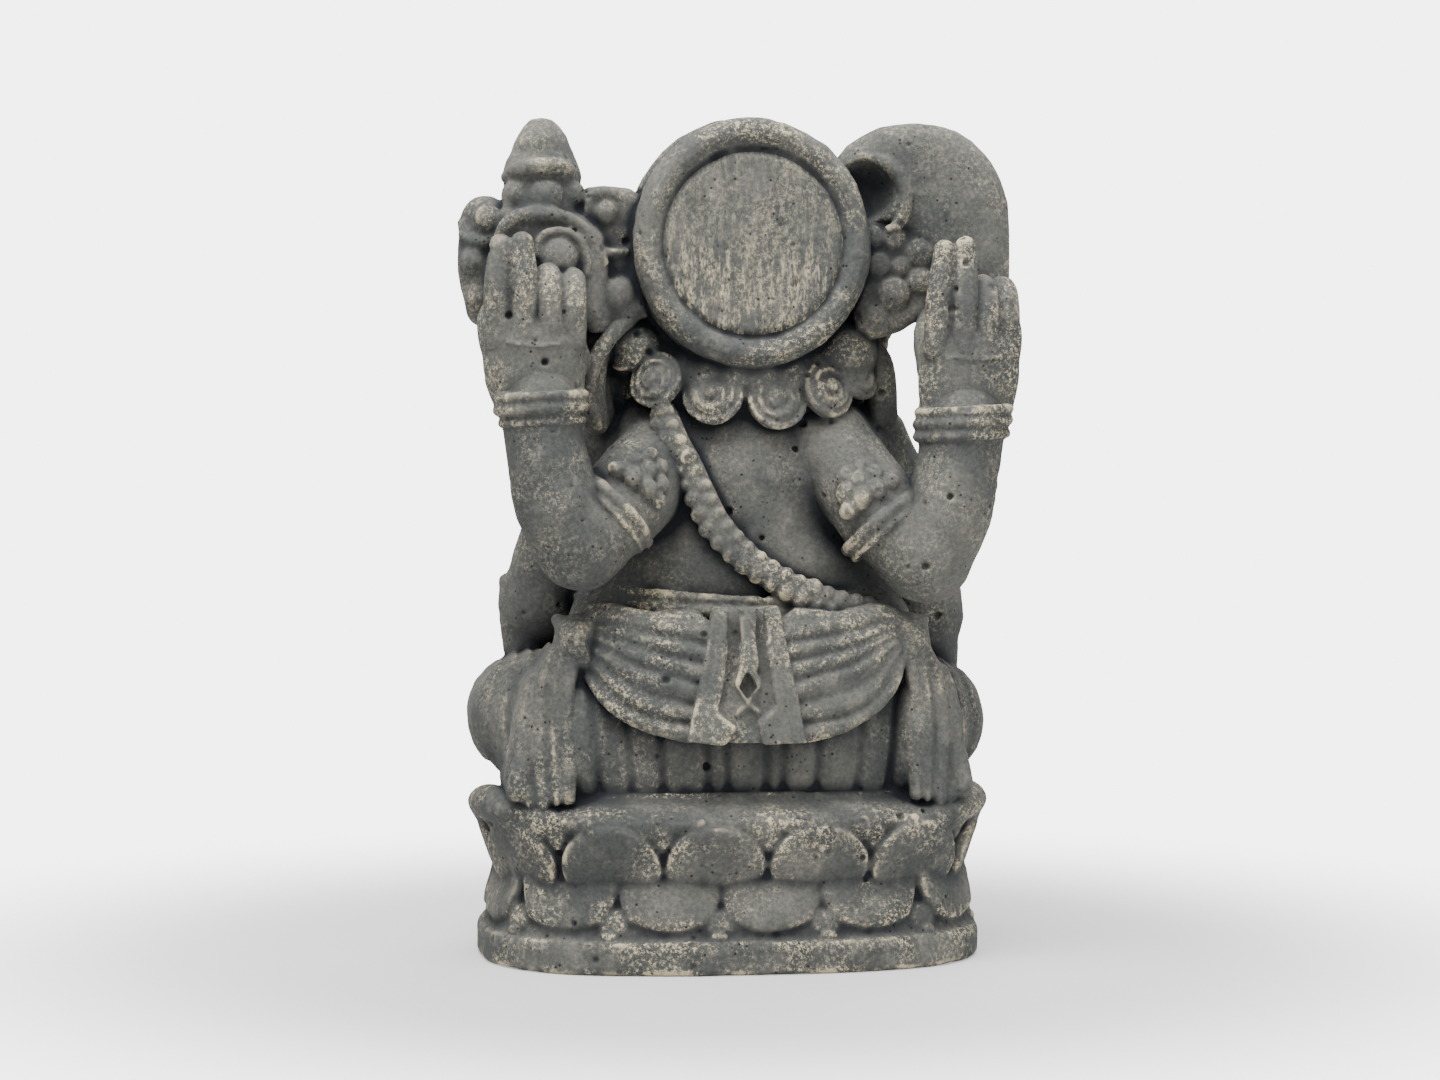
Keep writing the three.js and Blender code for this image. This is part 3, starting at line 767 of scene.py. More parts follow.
    def part_member(self, name):
        """Frees one member as a closed surface: points in millimetres and quads."""
        part, field, _ = self.members[name]
        nearest, second = self.nearest[part], self.second[part]
        other = np.where(field <= nearest + 1e-5, second, nearest)
        beyond = field - other
        body = self.stone[part] + 0.5 * np.maximum(beyond, 0)
        body = np.maximum(body, beyond - SHELL).astype(np.float32)
        for axis in range(3):
            ends = [slice(None)] * 3
            for end in (0, -1):
                ends[axis] = end
                body[tuple(ends)] = np.maximum(body[tuple(ends)], 0.5 * CELL)
        grid = vdb.FloatGrid(FAR)
        grid.copyFromArray(np.ascontiguousarray(body))
        points, quads = grid.convertToQuads(0.0)
        start = [s.start for s in part]
        points = points + np.array(start, np.float32)
        points, quads = largest_shell(points, quads)
        return (points + self.first) * CELL, quads

    def wear_and_shade_at(self, points):
        """The values of the fields for rubbed edges and painted shade at points in millimetres."""
        places = points / CELL - self.first
        return {key: sample(field, places) for key, field in self.shade.items()}


def cloud(shape, size, chance):
    """Smooth random field between about -1 and 1, with lumps `size` voxels across."""
    coarse = chance.standard_normal([int(n / size) + 3 for n in shape]).astype(np.float32) * 0.6
    for axis, n in enumerate(shape):
        place = np.arange(n) / size + 0.3 * axis
        low = place.astype(int)
        share = place - low
        share = (share * share * (3 - 2 * share)).astype(np.float32)
        form = [1, 1, 1]
        form[axis] = n
        share = share.reshape(form)
        coarse = np.take(coarse, low, axis) * (1 - share) + np.take(coarse, low + 1, axis) * share
    return coarse


def blur(field, reach):
    """Box blur by running sums."""
    for axis in range(3):
        n = field.shape[axis]
        total = np.cumsum(field, axis=axis, dtype=np.float32)
        zero = np.zeros_like(np.take(total, [0], axis))
        total = np.concatenate([zero, total], axis)
        high = np.minimum(np.arange(n) + reach + 1, n)
        low = np.maximum(np.arange(n) - reach, 0)
        form = [1, 1, 1]
        form[axis] = n
        span = (high - low).astype(np.float32).reshape(form)
        field = (np.take(total, high, axis) - np.take(total, low, axis)) / span
    return field


def sample(field, points):
    """Field values between voxels."""
    top = np.array(field.shape) - 2
    low = np.clip(points.astype(int), 0, top)
    share = (points - low).astype(np.float32)
    value = 0
    for corner in np.ndindex(2, 2, 2):
        weight = np.prod(np.where(corner, share, 1 - share), axis=1)
        i, j, k = (low + corner).T
        value = value + weight * field[i, j, k]
    return value


def largest_shell(points, quads):
    """The biggest connected shell: loose crumbs are dropped."""
    label = np.arange(len(points))
    while True:
        low = label[quads].min(1)
        fresh = label.copy()
        for k in range(4):
            np.minimum.at(fresh, quads[:, k], low)
        fresh = fresh[fresh]
        if (fresh == label).all():
            break
        label = fresh
    names, counts = np.unique(label[quads[:, 0]], return_counts=True)
    kept = label == names[counts.argmax()]
    number = np.cumsum(kept) - 1
    return points[kept], number[quads[kept[quads[:, 0]]]]


BLOCK = None
STONES = {}


def carve(name, form, slot="carved_stone", blend=1.2):
    BLOCK.place(name, form, slot, blend)


# ---------------------------------------------------------------- stone materials


def shader_group(name, inputs, outputs):
    tree = bpy.data.node_groups.new(name, "ShaderNodeTree")
    for label, kind, default in inputs:
        socket = tree.interface.new_socket(label, in_out="INPUT", socket_type=f"NodeSocket{kind}")
        if default is not None:
            socket.default_value = default
    for label, kind in outputs:
        tree.interface.new_socket(label, in_out="OUTPUT", socket_type=f"NodeSocket{kind}")
    return tree, tree.nodes.new("NodeGroupInput").outputs, tree.nodes.new("NodeGroupOutput").inputs


def noise(tree, vector, scale, detail=4.0, roughness=0.6, stretch=None):
    if stretch:
        vector = node(
            tree, "ShaderNodeVectorMath", {0: vector, 1: stretch}, operation="MULTIPLY"
        ).outputs[0]
    made = node(
        tree,
        "ShaderNodeTexNoise",
        {"Vector": vector, "Scale": scale, "Detail": detail, "Roughness": roughness},
    )
    return made.outputs[0]


def span(tree, value, low, high, to_low=0.0, to_high=1.0):
    made = node(
        tree,
        "ShaderNodeMapRange",
        {0: value, 1: low, 2: high, 3: to_low, 4: to_high},
        interpolation_type="SMOOTHSTEP",
    )
    return made.outputs[0]


def tone(tree, operation, a, b=0.0, c=0.0):
    return node(tree, "ShaderNodeMath", {0: a, 1: b, 2: c}, operation=operation).outputs[0]


def mixed(tree, share, a, b):
    made = node(
        tree, "ShaderNodeMix", {0: share, 6: a, 7: b}, data_type="RGBA", blend_type="MIX"
    )
    return made.outputs[2]


def weathered_group():
    """Volcanic stone: mineral grain, painted shade darkening the sheltered hollows, pale rubbed edges and
    lime specks.
    """
    if "Weathered stone" in bpy.data.node_groups:
        return bpy.data.node_groups["Weathered stone"]
    tree, given, out = shader_group(
        "Weathered stone",
        [
            ("Stone", "Color", (0.1, 0.1, 0.1, 1)),
            ("Hollow shade", "Color", (0.02, 0.02, 0.03, 1)),
            ("Worn", "Color", (0.4, 0.35, 0.25, 1)),
            ("Wear", "Float", 1.0),
            ("Specks", "Float", 1.0),
            ("Shade strength", "Float", 1.0),
        ],
        [("Color", "Color"), ("Roughness", "Float"), ("Height", "Float")],
    )
    place = node(tree, "ShaderNodeTexCoord").outputs["Object"]
    read = {
        name: node(tree, "ShaderNodeAttribute", attribute_name=name).outputs["Fac"]
        for name in ("edge_wear", "hollow", "shelter")
    }
    patches = noise(tree, place, 22.0, 3.0, 0.55)
    mottle = noise(tree, place, 90.0, 5.0, 0.65)
    grain = noise(tree, place, 520.0, 4.0, 0.7)
    fine = noise(tree, place, 1500.0, 3.0, 0.7)
    # body colour, mottled
    dark = mixed(tree, span(tree, patches, 0.36, 0.7), given["Stone"], (0.14, 0.138, 0.122, 1))
    dark = mixed(tree, span(tree, mottle, 0.5, 0.74, 0.0, 0.5), dark, (0.21, 0.2, 0.17, 1))
    lively = tone(tree, "MULTIPLY_ADD", span(tree, grain, 0.25, 0.75), 0.55, 0.72)
    body = node(
        tree, "ShaderNodeVectorMath", {0: dark, 3: lively}, operation="SCALE"
    ).outputs[0]
    # painted shade: sheltered hollows are darkened towards a near-black blue-grey, read from the shelter
    # and hollow fields
    deep = tone(
        tree,
        "MULTIPLY_ADD",
        span(tree, read["shelter"], 0.47, 0.74),
        0.75,
        tone(tree, "MULTIPLY", span(tree, read["hollow"], 0.5, 0.72), 0.55),
    )
    deep = tone(tree, "MULTIPLY", deep, given["Shade strength"])
    deep = tone(
        tree,
        "MINIMUM",
        tone(tree, "MULTIPLY", deep, tone(tree, "MULTIPLY_ADD", patches, 0.7, 0.65)),
        1.0
    )
    body = mixed(tree, deep, body, given["Hollow shade"])
    # rubbed edges and specks
    proud = span(tree, read["edge_wear"], 0.47, 0.34)
    open_air = span(tree, read["shelter"], 0.56, 0.4)
    speck = span(
        tree, tone(tree, "MULTIPLY_ADD", fine, 0.45, tone(tree, "MULTIPLY", grain, 0.55)), 0.5, 0.6
    )
    clumps = span(tree, noise(tree, place, 38.0, 4.0, 0.6), 0.42, 0.66)
    rubbed = tone(tree, "MULTIPLY", proud, span(tree, mottle, 0.46, 0.62))
    rubbed = tone(tree, "MULTIPLY", rubbed, span(tree, clumps, 0.0, 0.7, 0.3, 1.4))
    rubbed = tone(tree, "MULTIPLY", rubbed, given["Wear"])
    specks = tone(tree, "MULTIPLY", tone(tree, "MULTIPLY", speck, clumps), given["Specks"])
    specks = tone(tree, "MULTIPLY", specks, open_air)
    crust = tone(
        tree,
        "MULTIPLY",
        span(tree, read["edge_wear"], 0.52, 0.44),
        tone(tree, "MULTIPLY", clumps, speck)
    )
    crust = tone(tree, "MULTIPLY", crust, given["Wear"])
    pale = tone(tree, "MINIMUM", tone(tree, "ADD", tone(tree, "ADD", rubbed, specks), crust), 0.95)
    pale = tone(tree, "MULTIPLY", pale, tone(tree, "MULTIPLY_ADD", fine, 0.9, 0.4))
    colour = mixed(tree, pale, body, given["Worn"])
    # painted shade: small near-black pores, the shade inside tiny holes painted as colour, with a dent in
    # the height too
    cells = node(
        tree, "ShaderNodeTexVoronoi", {"Vector": place, "Scale": 260.0, "Randomness": 1.0}
    ).outputs["Distance"]
    picked = span(tree, noise(tree, place, 150.0, 2.0, 0.5), 0.53, 0.6)
    pore = tone(tree, "MULTIPLY", span(tree, cells, 0.22, 0.1), picked)
    colour = mixed(tree, tone(tree, "MULTIPLY", pore, 0.85), colour, (0.008, 0.009, 0.011, 1))
    tree.links.new(colour, out["Color"])
    tree.links.new(span(tree, grain, 0.2, 0.8, 0.78, 0.95), out["Roughness"])
    height = tone(tree, "MULTIPLY_ADD", grain, 0.6, tone(tree, "MULTIPLY", fine, 0.3))
    height = tone(tree, "MULTIPLY_ADD", pore, -0.8, height)
    height = tone(tree, "MULTIPLY_ADD", mottle, 0.6, height)
    tree.links.new(height, out["Height"])
    return tree


def saw_group():
    """Pale vertical tool marks of a sawn face."""
    if "Saw marks" in bpy.data.node_groups:
        return bpy.data.node_groups["Saw marks"]
    tree, given, out = shader_group(
        "Saw marks", [("Amount", "Float", 1.0)], [("Mask", "Float"), ("Height", "Float")]
    )
    place = node(tree, "ShaderNodeTexCoord").outputs["Object"]
    drags = noise(tree, place, 1.0, 3.0, 0.6, stretch=(430.0, 40.0, 95.0))
    flecks = noise(tree, place, 1.0, 4.0, 0.7, stretch=(900.0, 500.0, 420.0))
    low = node(tree, "ShaderNodeSeparateXYZ", {0: place}).outputs[2]
    lower = span(tree, low, 0.352, 0.3, 0.25, 1.0)
    mask = tone(tree, "MULTIPLY", span(tree, drags, 0.42, 0.66), span(tree, flecks, 0.4, 0.62))
    mask = tone(tree, "MULTIPLY", tone(tree, "MULTIPLY", mask, lower), given["Amount"])
    tree.links.new(mask, out["Mask"])
    tree.links.new(tone(tree, "ADD", drags, tone(tree, "MULTIPLY", flecks, 0.7)), out["Height"])
    return tree


def stone_material(slot):
    """The stone as it is on one kind of surface: how rubbed, how speckled and how much painted shade its
    hollows get.
    """
    if slot in STONES:
        return STONES[slot]
    stone = bpy.context.scene.idol_stone
    # columns: wear, specks and the strength of the painted shade in hollows
    wear, specks, shade_strength = {
        "carved_stone": (0.4, 0.3, 1.0),
        "worn_relief": (0.95, 0.5, 1.1),
        "plinth_stone": (1.5, 0.5, 1.2),
        "sawn_face": (0.4, 1.0, 0.6),
    }[slot]
    material = bpy.data.materials.new(f"idol_{slot}")
    material.use_nodes = True
    tree = material.node_tree
    shader = tree.nodes["Principled BSDF"]
    shader.inputs["Specular IOR Level"].default_value = 0.25
    weathered = node(
        tree,
        "ShaderNodeGroup",
        node_tree=weathered_group(),
    )
    # painted shade: the plinth's stone is painted darker (0.84) for the dimmer light on the lower part,
    # and the carved stone a little darker (0.95)
    shade_tint = {"plinth_stone": 0.84, "carved_stone": 0.95}.get(slot, 1.0)
    for key, value in {
        "Stone": (*(shade_tint * v for v in stone.body), 1),
        "Hollow shade": (*stone.hollow, 1),
        "Worn": (*stone.worn, 1),
        "Wear": wear,
        "Specks": specks,
        "Shade strength": shade_strength,
    }.items():
        weathered.inputs[key].default_value = value
    colour, height = weathered.outputs["Color"], weathered.outputs["Height"]
    if slot == "sawn_face":
        marks = node(tree, "ShaderNodeGroup", node_tree=saw_group())
        marks.inputs["Amount"].default_value = 0.9
        colour = mixed(tree, marks.outputs["Mask"], colour, (*stone.worn, 1))
        height = tone(tree, "ADD", height, marks.outputs["Height"])
    tree.links.new(colour, shader.inputs["Base Color"])
    tree.links.new(weathered.outputs["Roughness"], shader.inputs["Roughness"])
    bump = node(tree, "ShaderNodeBump", {"Height": height, "Strength": 0.55, "Distance": 0.0006})
    tree.links.new(bump.outputs[0], shader.inputs["Normal"])
    STONES[slot] = material
    return material


# ---------------------------------------------------------------- pedestal


def superellipse(angle, half_width, half_depth, power=2.8):
    c, s = math.cos(angle), math.sin(angle)
    bend = 2 / power
    return (
        half_width * math.copysign(abs(c) ** bend, c),
        half_depth * math.copysign(abs(s) ** bend, s),
    )


def course(levels, power=2.8, rounding=1.5):
    """A pedestal course: levels are (z, half width, half depth), lowest first."""
    z_at, a_at, b_at = (np.array(v, np.float32) for v in zip(*levels))

    def rule(axes):
        x, y, z = spread(axes)
        a = np.interp(z, z_at, a_at).astype(np.float32)
        b = np.interp(z, z_at, b_at).astype(np.float32)
        share = ((np.abs(x) / a) ** power + (np.abs(y) / b) ** power) ** (1 / power)
        out = np.sqrt(x * x + y * y)
        side = 0.9 * (out - out / np.maximum(share, 1e-3))
        return soft_max(side, np.maximum(z_at[0] - z, z - z_at[-1]), rounding)

    widest, deepest = a_at.max(), b_at.max()
    return Form((-widest, -deepest, z_at[0]), (widest, deepest, z_at[-1]), rule)


def stations_round(count, offset, half_width, half_depth, z, size=1.0):
    """Evenly spaced points round the pedestal with the way each faces."""
    ring = np.array(
        [superellipse(2 * math.pi * i / 1440 + math.pi / 2, half_width, half_depth) for i in range(1441)]
    )
    run = np.concatenate([[0], np.cumsum(np.linalg.norm(np.diff(ring, axis=0), axis=1))])
    made = []
    for i in range(count):
        at = run[-1] * ((i + offset) / count % 1)
        x, y = (np.interp(at, run, ring[:, k]) for k in (0, 1))
        x2, y2 = (np.interp((at + 1) % run[-1], run, ring[:, k]) for k in (0, 1))
        facing = np.array([y2 - y, x - x2, 0.0])
        if facing @ (x, y, 0) < 0:
            facing = -facing
        made.append(((x, y, z), facing, size))
    return made


def carve_pedestal(settings):
    slab, waist, lip, seat = (
        v / MM for v in (settings.slab_top, settings.waist, settings.lip, settings.seat)
    )
    count = settings.petals
    # where each row's first petal and first gap stand, in petal spacings from the back's middle
    lower_petal, lower_gap = 0.24, 0.74
    upper_petal, upper_gap = 0.7, 0.2
    carve(
        "plinth_slab",
        course([(0, 115.5, 82.5), (2, 117, 84), (slab - 2, 117, 84), (slab + 1.2, 115.8, 82.8)]),
        "plinth_stone",
        blend=0.8,
    )
    middle = (slab + waist) / 2
    lower_core = course(
        [
            (slab - 1, 115.8, 82.8), (slab + 3, 112.8, 79.8), (middle, 108.8, 75.8),
            (waist - 5, 107.2, 74.2), (waist + 1, 106.6, 73.6),
        ],
        rounding=0.8,
    )
    lower = [
        lower_core,
        leaves(
            stations_round(count, lower_petal, 103.6, 70.6, waist - 2.5), (5.0, 24.2, 24.8), -0.35, 3,
            squareness=0.3, flatness=0.5, variation=0.03,
        ),
        leaves(
            stations_round(count, lower_gap, 109.4, 76.4, slab + 10), (3.6, 7.5, 10.0), -0.35, 4,
            point=-0.4,
        ),
        beads(stations_round(count, lower_gap, 113.4, 80.4, slab + 3.0), 2.4, 4.4, 3.0, 0.15, 2),
    ]
    carve("lower_lotus_row", merge(lower, 1.0), "plinth_stone", blend=0.9)
    upper_core = course(
        [
            (waist - 0.5, 106.6, 73.6), (waist + 2.5, 108.2, 74.8), (waist + 9, 110.2, 77.0),
            (lip - 5, 111.2, 78.8), (lip - 1.2, 113.2, 81.6), (lip + 1.2, 113.2, 81.8),
            (lip + 5, 109.5, 78.5), (seat - 4, 101, 70), (seat, 98, 66),
        ],
        rounding=0.8,
    )
    upper = [
        upper_core,
        leaves(
            stations_round(count, upper_petal, 107.4, 73.8, waist + 3.4), (5.2, 23.5, 21.6), 0.37, 5,
            flatness=0.6, variation=0.04,
        ),
        leaves(
            stations_round(count, upper_gap, 110.6, 78.0, lip - 5.5), (3.6, 5.4, 6.6), 0.37, 6,
            point=0.5,
        ),
        leaves(
            stations_round(2 * count, 0.15, 112.2, 80.4, lip - 2.5), (2.8, 4.6, 4.0), 0.3, 9,
            point=0.5, variation=0.12,
        ),
    ]
    ends = [
        limb(
            [(s * 90, 56, lip + 1), (s * 106, 38, lip + 5), (s * 112, 6, lip + 4), (s * 110, -24, lip)],
            [8, 10, 9.5, 8],
            (1, 1, 0.8),
        )
        for s in (1, -1)
    ]
    carve("upper_lotus_row", merge([merge(upper, 0.8), *ends], 5.0), "plinth_stone", blend=0.9)


# ---------------------------------------------------------------- body and legs


def carve_body():
    torso = merge(
        [
            egg((MID, -10, 190), (66, 60, 48)),
            egg((MID, 4, 176), (70, 48, 32)),
            egg((MID + 60, 20, 154), (20, 28, 20)),
            egg((MID - 60, 20, 154), (20, 28, 20)),
            egg((MID, 8, 224), (66, 47, 46)),
            limb([(MID - 54, 8, 240), (MID, 6, 250), (MID + 54, 8, 240)], [19, 27, 19], (1, 1.25, 1)),
            limb([(MID, 4, 240), (MID, 6, 296)], [40, 38]),
        ],
        14.0,
    )
    navel = egg((MID, -70, 178), (4, 5, 5))
    spine = limb([(MID, 56, 196), (MID, 57, 226)], [1.2, 1.2])
    rolls = [
        ring((MID, -10, 204), (0, -0.25, 1), 61.0, 1.6, 1.4),
        ring((MID, -10, 168), (0, -0.1, 1), 58.5, 1.4, 1.4),
    ]
    front_only = [kept_in(r, (-80, -90, 150), (70, -30, 220)) for r in rolls]
    carve("torso", cut(torso, [navel, spine, *front_only], 2.0), blend=1.5)

    pleats = (66.6, 51.7, 37.2, 16.4, 7.3, -10.5, -18.3, -34.3, -53.6, -69.2)

    def skirt_folds(x, y, z):
        behind = np.clip((y - 10) / 12, 0, 1)
        total = 0
        for line in pleats:
            total = total + groove(x - line - (z - 96) * 0.0016 * line, 2.2, 1.8)
        return behind * (total - 0.6)

    lap = merge(
        [
            egg((MID, 4, 118), (84, 60, 46)),
            course([(76, 84, 62), (84, 85, 63.5), (104, 85, 64.5), (122, 82, 61)], 4.0),
            egg((MID + 76, 40, 104), (14, 24, 34)),
            egg((MID - 76, 40, 104), (14, 24, 34)),
        ],
        8.0,
    )
    carve("lap_cloth", pressed(lap, skirt_folds), blend=1.0)

    for side, label in SIDES:
        out_x = 88 if side > 0 else 90
        top = 112 if side > 0 else 108
        thigh = limb(
            [
                (side * 68, 22, top),
                (side * out_x, 8, top),
                (side * (out_x - 1), -30, top - 3),
                (side * 52, -62, 104),
                (side * 18, -76, 100),
            ],
            [24, 30, 29, 21, 15],
        )
        under = limb([(side * 84, -26, 88), (side * 56, -54, 86), (side * 12, -64, 85)], [17, 17, 15])
        spots = [
            (70, 152), (80, 152), (91, 141), (100, 128), (105, 108), (106.5, 92), (106, 77), (77, 77),
            (76.5, 128),
        ]
        panel = plate(
            [(side * a, b) for a, b in spots],
            lambda x, z: 40 + (150 - z) * 0.1 - ((np.abs(x) - 76) / 30) ** 2 * 12,
            19.0,
            5.0,
            smooth=2,
        )

        def folds(x, y, z, side=side):
            swell = np.where(
                z > 108, np.sqrt(np.maximum(1 - ((z - 108) / 48) ** 2, 0.02)), 1 - ((108 - z) / 90) ** 2
            )
            out = (side * x - 76) / swell
            total = 0
            for line, deep in ((7.5, 1.5), (13.0, 2.2), (21.0, 1.6), (28.5, 2.0), (36.0, 1.5)):
                total = total + groove((out - line) * np.maximum(swell, 0.3), 1.7, deep)
            return total * np.clip((y + 26) / 14, 0, 1) * np.clip((side * x - 74) / 4, 0, 1) - 0.5

        tassel = limb([(side * 98, 54, 104), (side * 101, 55, 92), (side * 102, 56, 82)], [2.2, 4.4, 5.4])
        leg = merge([pressed(merge([thigh, under, panel], 5.0), folds), tassel], 1.5)
        leg = kept_in(leg, (-140, -95, 72), (140, 72, 154), 3.0)
        carve(f"{label}_knee", leg, blend=1.5)
        sole = limb(
            [(side * 54, -66, 92), (side * 34, -80, 91), (side * 15, -84, 90)],
            [11, 11.5, 9],
            (1, 1, 0.8),
        )
        toes = beads(
            [
                (
                    (side * (8.5 - 0.4 * k), -86 + 1.5 * k, 84.5 + 4.3 * k), (-side, -0.4, 0)
                ) for k in range(4)
            ],
            5.0,
            2.9,
            2.6,
        )
        anklet = hoops([((side * 55, -66, 94), (side * 0.8, 0.5, 0), 12.5, 2.4)])
        carve(f"{label}_foot", merge([sole, toes, anklet], 1.2), blend=1.2)


# ---------------------------------------------------------------- arms


def crest(base, axis, radius):
    """Leaf scrolls heaped above an armlet, lying on the round of the arm."""
    d = Vector(axis).normalized()
    out = (Vector((0, 1, 0)) - d * d.y).normalized()
    across = d.cross(out)
    stations, coils = [], []
    spots = (
        (-1.6, 1.0, 5.2), (-0.5, 1.0, 5.8), (0.6, 1.0, 5.8), (1.6, 1.0, 5.0), (-1.1, 2.2, 5.4),
        (0.0, 2.2, 5.6), (1.1, 2.1, 5.0), (-0.5, 3.3, 5.0), (0.5, 3.2, 4.4),
    )
    for k, (a, b, size) in enumerate(spots):
        turn = a * 7.2 / radius
        normal = out * math.cos(turn) + across * math.sin(turn)
        spot = Vector(base) + d * (b * 6.2) + normal * (radius + 0.6)
        stations.append((tuple(spot), tuple(normal + d * 0.35), size, 0.5 * a + 0.3 * (k % 3)))
        coils.append((tuple(spot + normal * size * 0.5), tuple(normal), size * 0.75, 1.7 * k))
    lumps = beads(stations, 0.78, 0.74, 1.0, 0.1, 7)
    coils = row(
        "scroll", coils, Turns=0.8, Thickness=0.28, **{"Inner radius": 0.25, "Outer radius": 0.8},
        Variation=0.1, Seed=8,
    )
    bed = limb([base, Vector(base) + d * 22], [radius - 1.8, radius - 2.2])
    return [lumps, coils, bed]


def carve_rear_arm(side, label):
    if side > 0:
        elbow, wrist = (73.5, 60, 192.5), (92, 62, 258)
        lower = limb([elbow, (84, 63, 212), (89.5, 63, 236), wrist], [18.8, 19.8, 17.8, 18.2])
        upper = limb([(30, 30, 240), (52, 51, 212), elbow], [20, 20.5, 18.8])
        band_at, band_axis = (57.5, 55, 208.5), (-20, -4, 19)
        crest_axis, crest_radius = (-22, -21, 28), 21.4
        palm = limb(
            [(92, 62, 256), (94.5, 63, 271), (95, 64, 284)], [18.2, 22.8, 23.0], (1, 0.58, 1)
        )
        raised = [
            limb([(111, 68.5, 285), (111.4, 71, 308), (110, 70.5, 327)], [6.6, 6.1, 4.8]),
            limb([(100, 71, 285), (99.8, 73.5, 308), (100.6, 72.5, 328)], [6.2, 6.1, 4.8]),
        ]
        folded = [
            limb([(88.6, 71, 285), (88.4, 73, 304), (88.2, 66, 313), (87, 52, 312)], [6.0, 6.0, 5.8, 5.2]),
            limb([(77.4, 68.5, 285), (77.4, 71, 303), (77, 64, 312), (78, 51, 311)], [6.0, 5.9, 5.6, 5.0]),
        ]
        thumb = limb([(76, 56, 276), (78, 48, 290), (84, 42, 302)], [7.5, 6.5, 5.5])
        rings = [(259.6, 20.5, 2.3), (254.4, 20.2, 2.6), (248.4, 18.8, 1.9)]
        bracelet_x = (92.0, 91.6, 91.0)
        wrist_line = (93.5, 62, 282.5)
    else:
        elbow, wrist = (-84, 60, 186.5), (-101.0, 62, 250)
        lower = limb([elbow, (-94, 63, 207), (-99, 63, 230), wrist], [19.6, 20.4, 19, 19.2])
        upper = limb([(-42, 32, 240), (-62, 51, 210), elbow], [20, 20.5, 19.6])
        band_at, band_axis = (-65, 54, 203), (17, -5, 21)
        crest_axis, crest_radius = (20, -19, 30), 21.0
        palm = limb(
            [(-101.5, 62, 248), (-103, 63, 266), (-104, 64, 280)], [19.2, 23.2, 23.2], (1, 0.58, 1)
        )
        raised = [
            limb([(-87, 69.5, 281), (-88, 72, 304), (-90.4, 71, 326)], [6.4, 6.1, 4.8]),
            limb([(-98.6, 71.5, 281), (-99.4, 74, 304), (-99.8, 72.5, 327.5)], [6.3, 6.1, 4.8]),
        ]
        folded = [
            limb(
                [(-109.8, 71, 281), (-110, 72, 300), (-110, 65, 309.5), (-109, 52, 308)],
                [5.9, 5.8, 5.6, 5.2]
            ),
            limb(
                [(-120.2, 67.5, 281), (-120, 69, 299), (-119.5, 62, 309), (-118, 50, 307)],
                [6.0, 5.8, 5.6, 5.0]
            ),
        ]
        thumb = limb([(-88, 56, 272), (-87, 48, 286), (-90, 42, 296)], [7.5, 6.5, 5.5])
        rings = [(253.4, 21.8, 2.4), (248.2, 21.6, 2.8), (242.4, 21.0, 2.4)]
        bracelet_x = (-101.4, -101.0, -100.6)
        wrist_line = (-103, 62, 277)
    carve(f"{label}_rear_forearm", lower, blend=3.0)
    carve(f"{label}_rear_upper_arm", upper, blend=6.0)
    knuckle = egg((-124.0, 64, 286), (6.5, 9, 9)) if side < 0 else egg((115, 64, 290), (5.5, 9, 12))
    scratch = ribs(
        [
            (
                [
                    (wrist_line[0] - 15, 76.6, wrist_line[2] + 1),
                    (wrist_line[0], 78.0, wrist_line[2] - 0.6),
                    (wrist_line[0] + 15, 76.4, wrist_line[2] + 1)
                ],
                [0.35]
            )
        ]
    )
    carve(f"{label}_rear_hand", merge([palm, knuckle, scratch], 3.0), "worn_relief", blend=1.6)
    carve(f"{label}_raised_fingers", merge(raised, 0.4), "worn_relief", blend=1.2)
    carve(f"{label}_folded_fingers", merge(folded, 0.4), "worn_relief", blend=1.2)
    carve(f"{label}_rear_thumb", thumb, blend=3.0)
    hoop = hoops(
        [
            ((bx, 62, z), (0.05, 0, 1), radius - thick * 0.4, thick) for (z, radius, thick),
            bx in zip(rings, bracelet_x)
        ]
    )
    z0, z1 = rings[2][0], rings[0][0]
    core = limb([(bracelet_x[2], 62, z0), (bracelet_x[0], 62, z1)], [rings[2][1] - 1.8, rings[0][1] - 1.8])
    core = kept_in(core, (-140, 0, z0 - 2), (140, 120, z1 + 1.5), 1.0)
    carve(f"{label}_bracelet", merge([core, hoop], 0.5), "worn_relief", blend=0.6)
    axis = np.array(band_axis, float) / np.linalg.norm(band_axis)
    armlet = [
        hoops(
            [
                (band_at, band_axis, 20.6, 2.9),
                (tuple(np.array(band_at) - axis * 5.0), band_axis, 20.6, 1.7),
            ]
        ),
        *crest(band_at, crest_axis, crest_radius),
    ]
    carve(f"{label}_armlet", merge(armlet, 0.5), "worn_relief", blend=0.8)


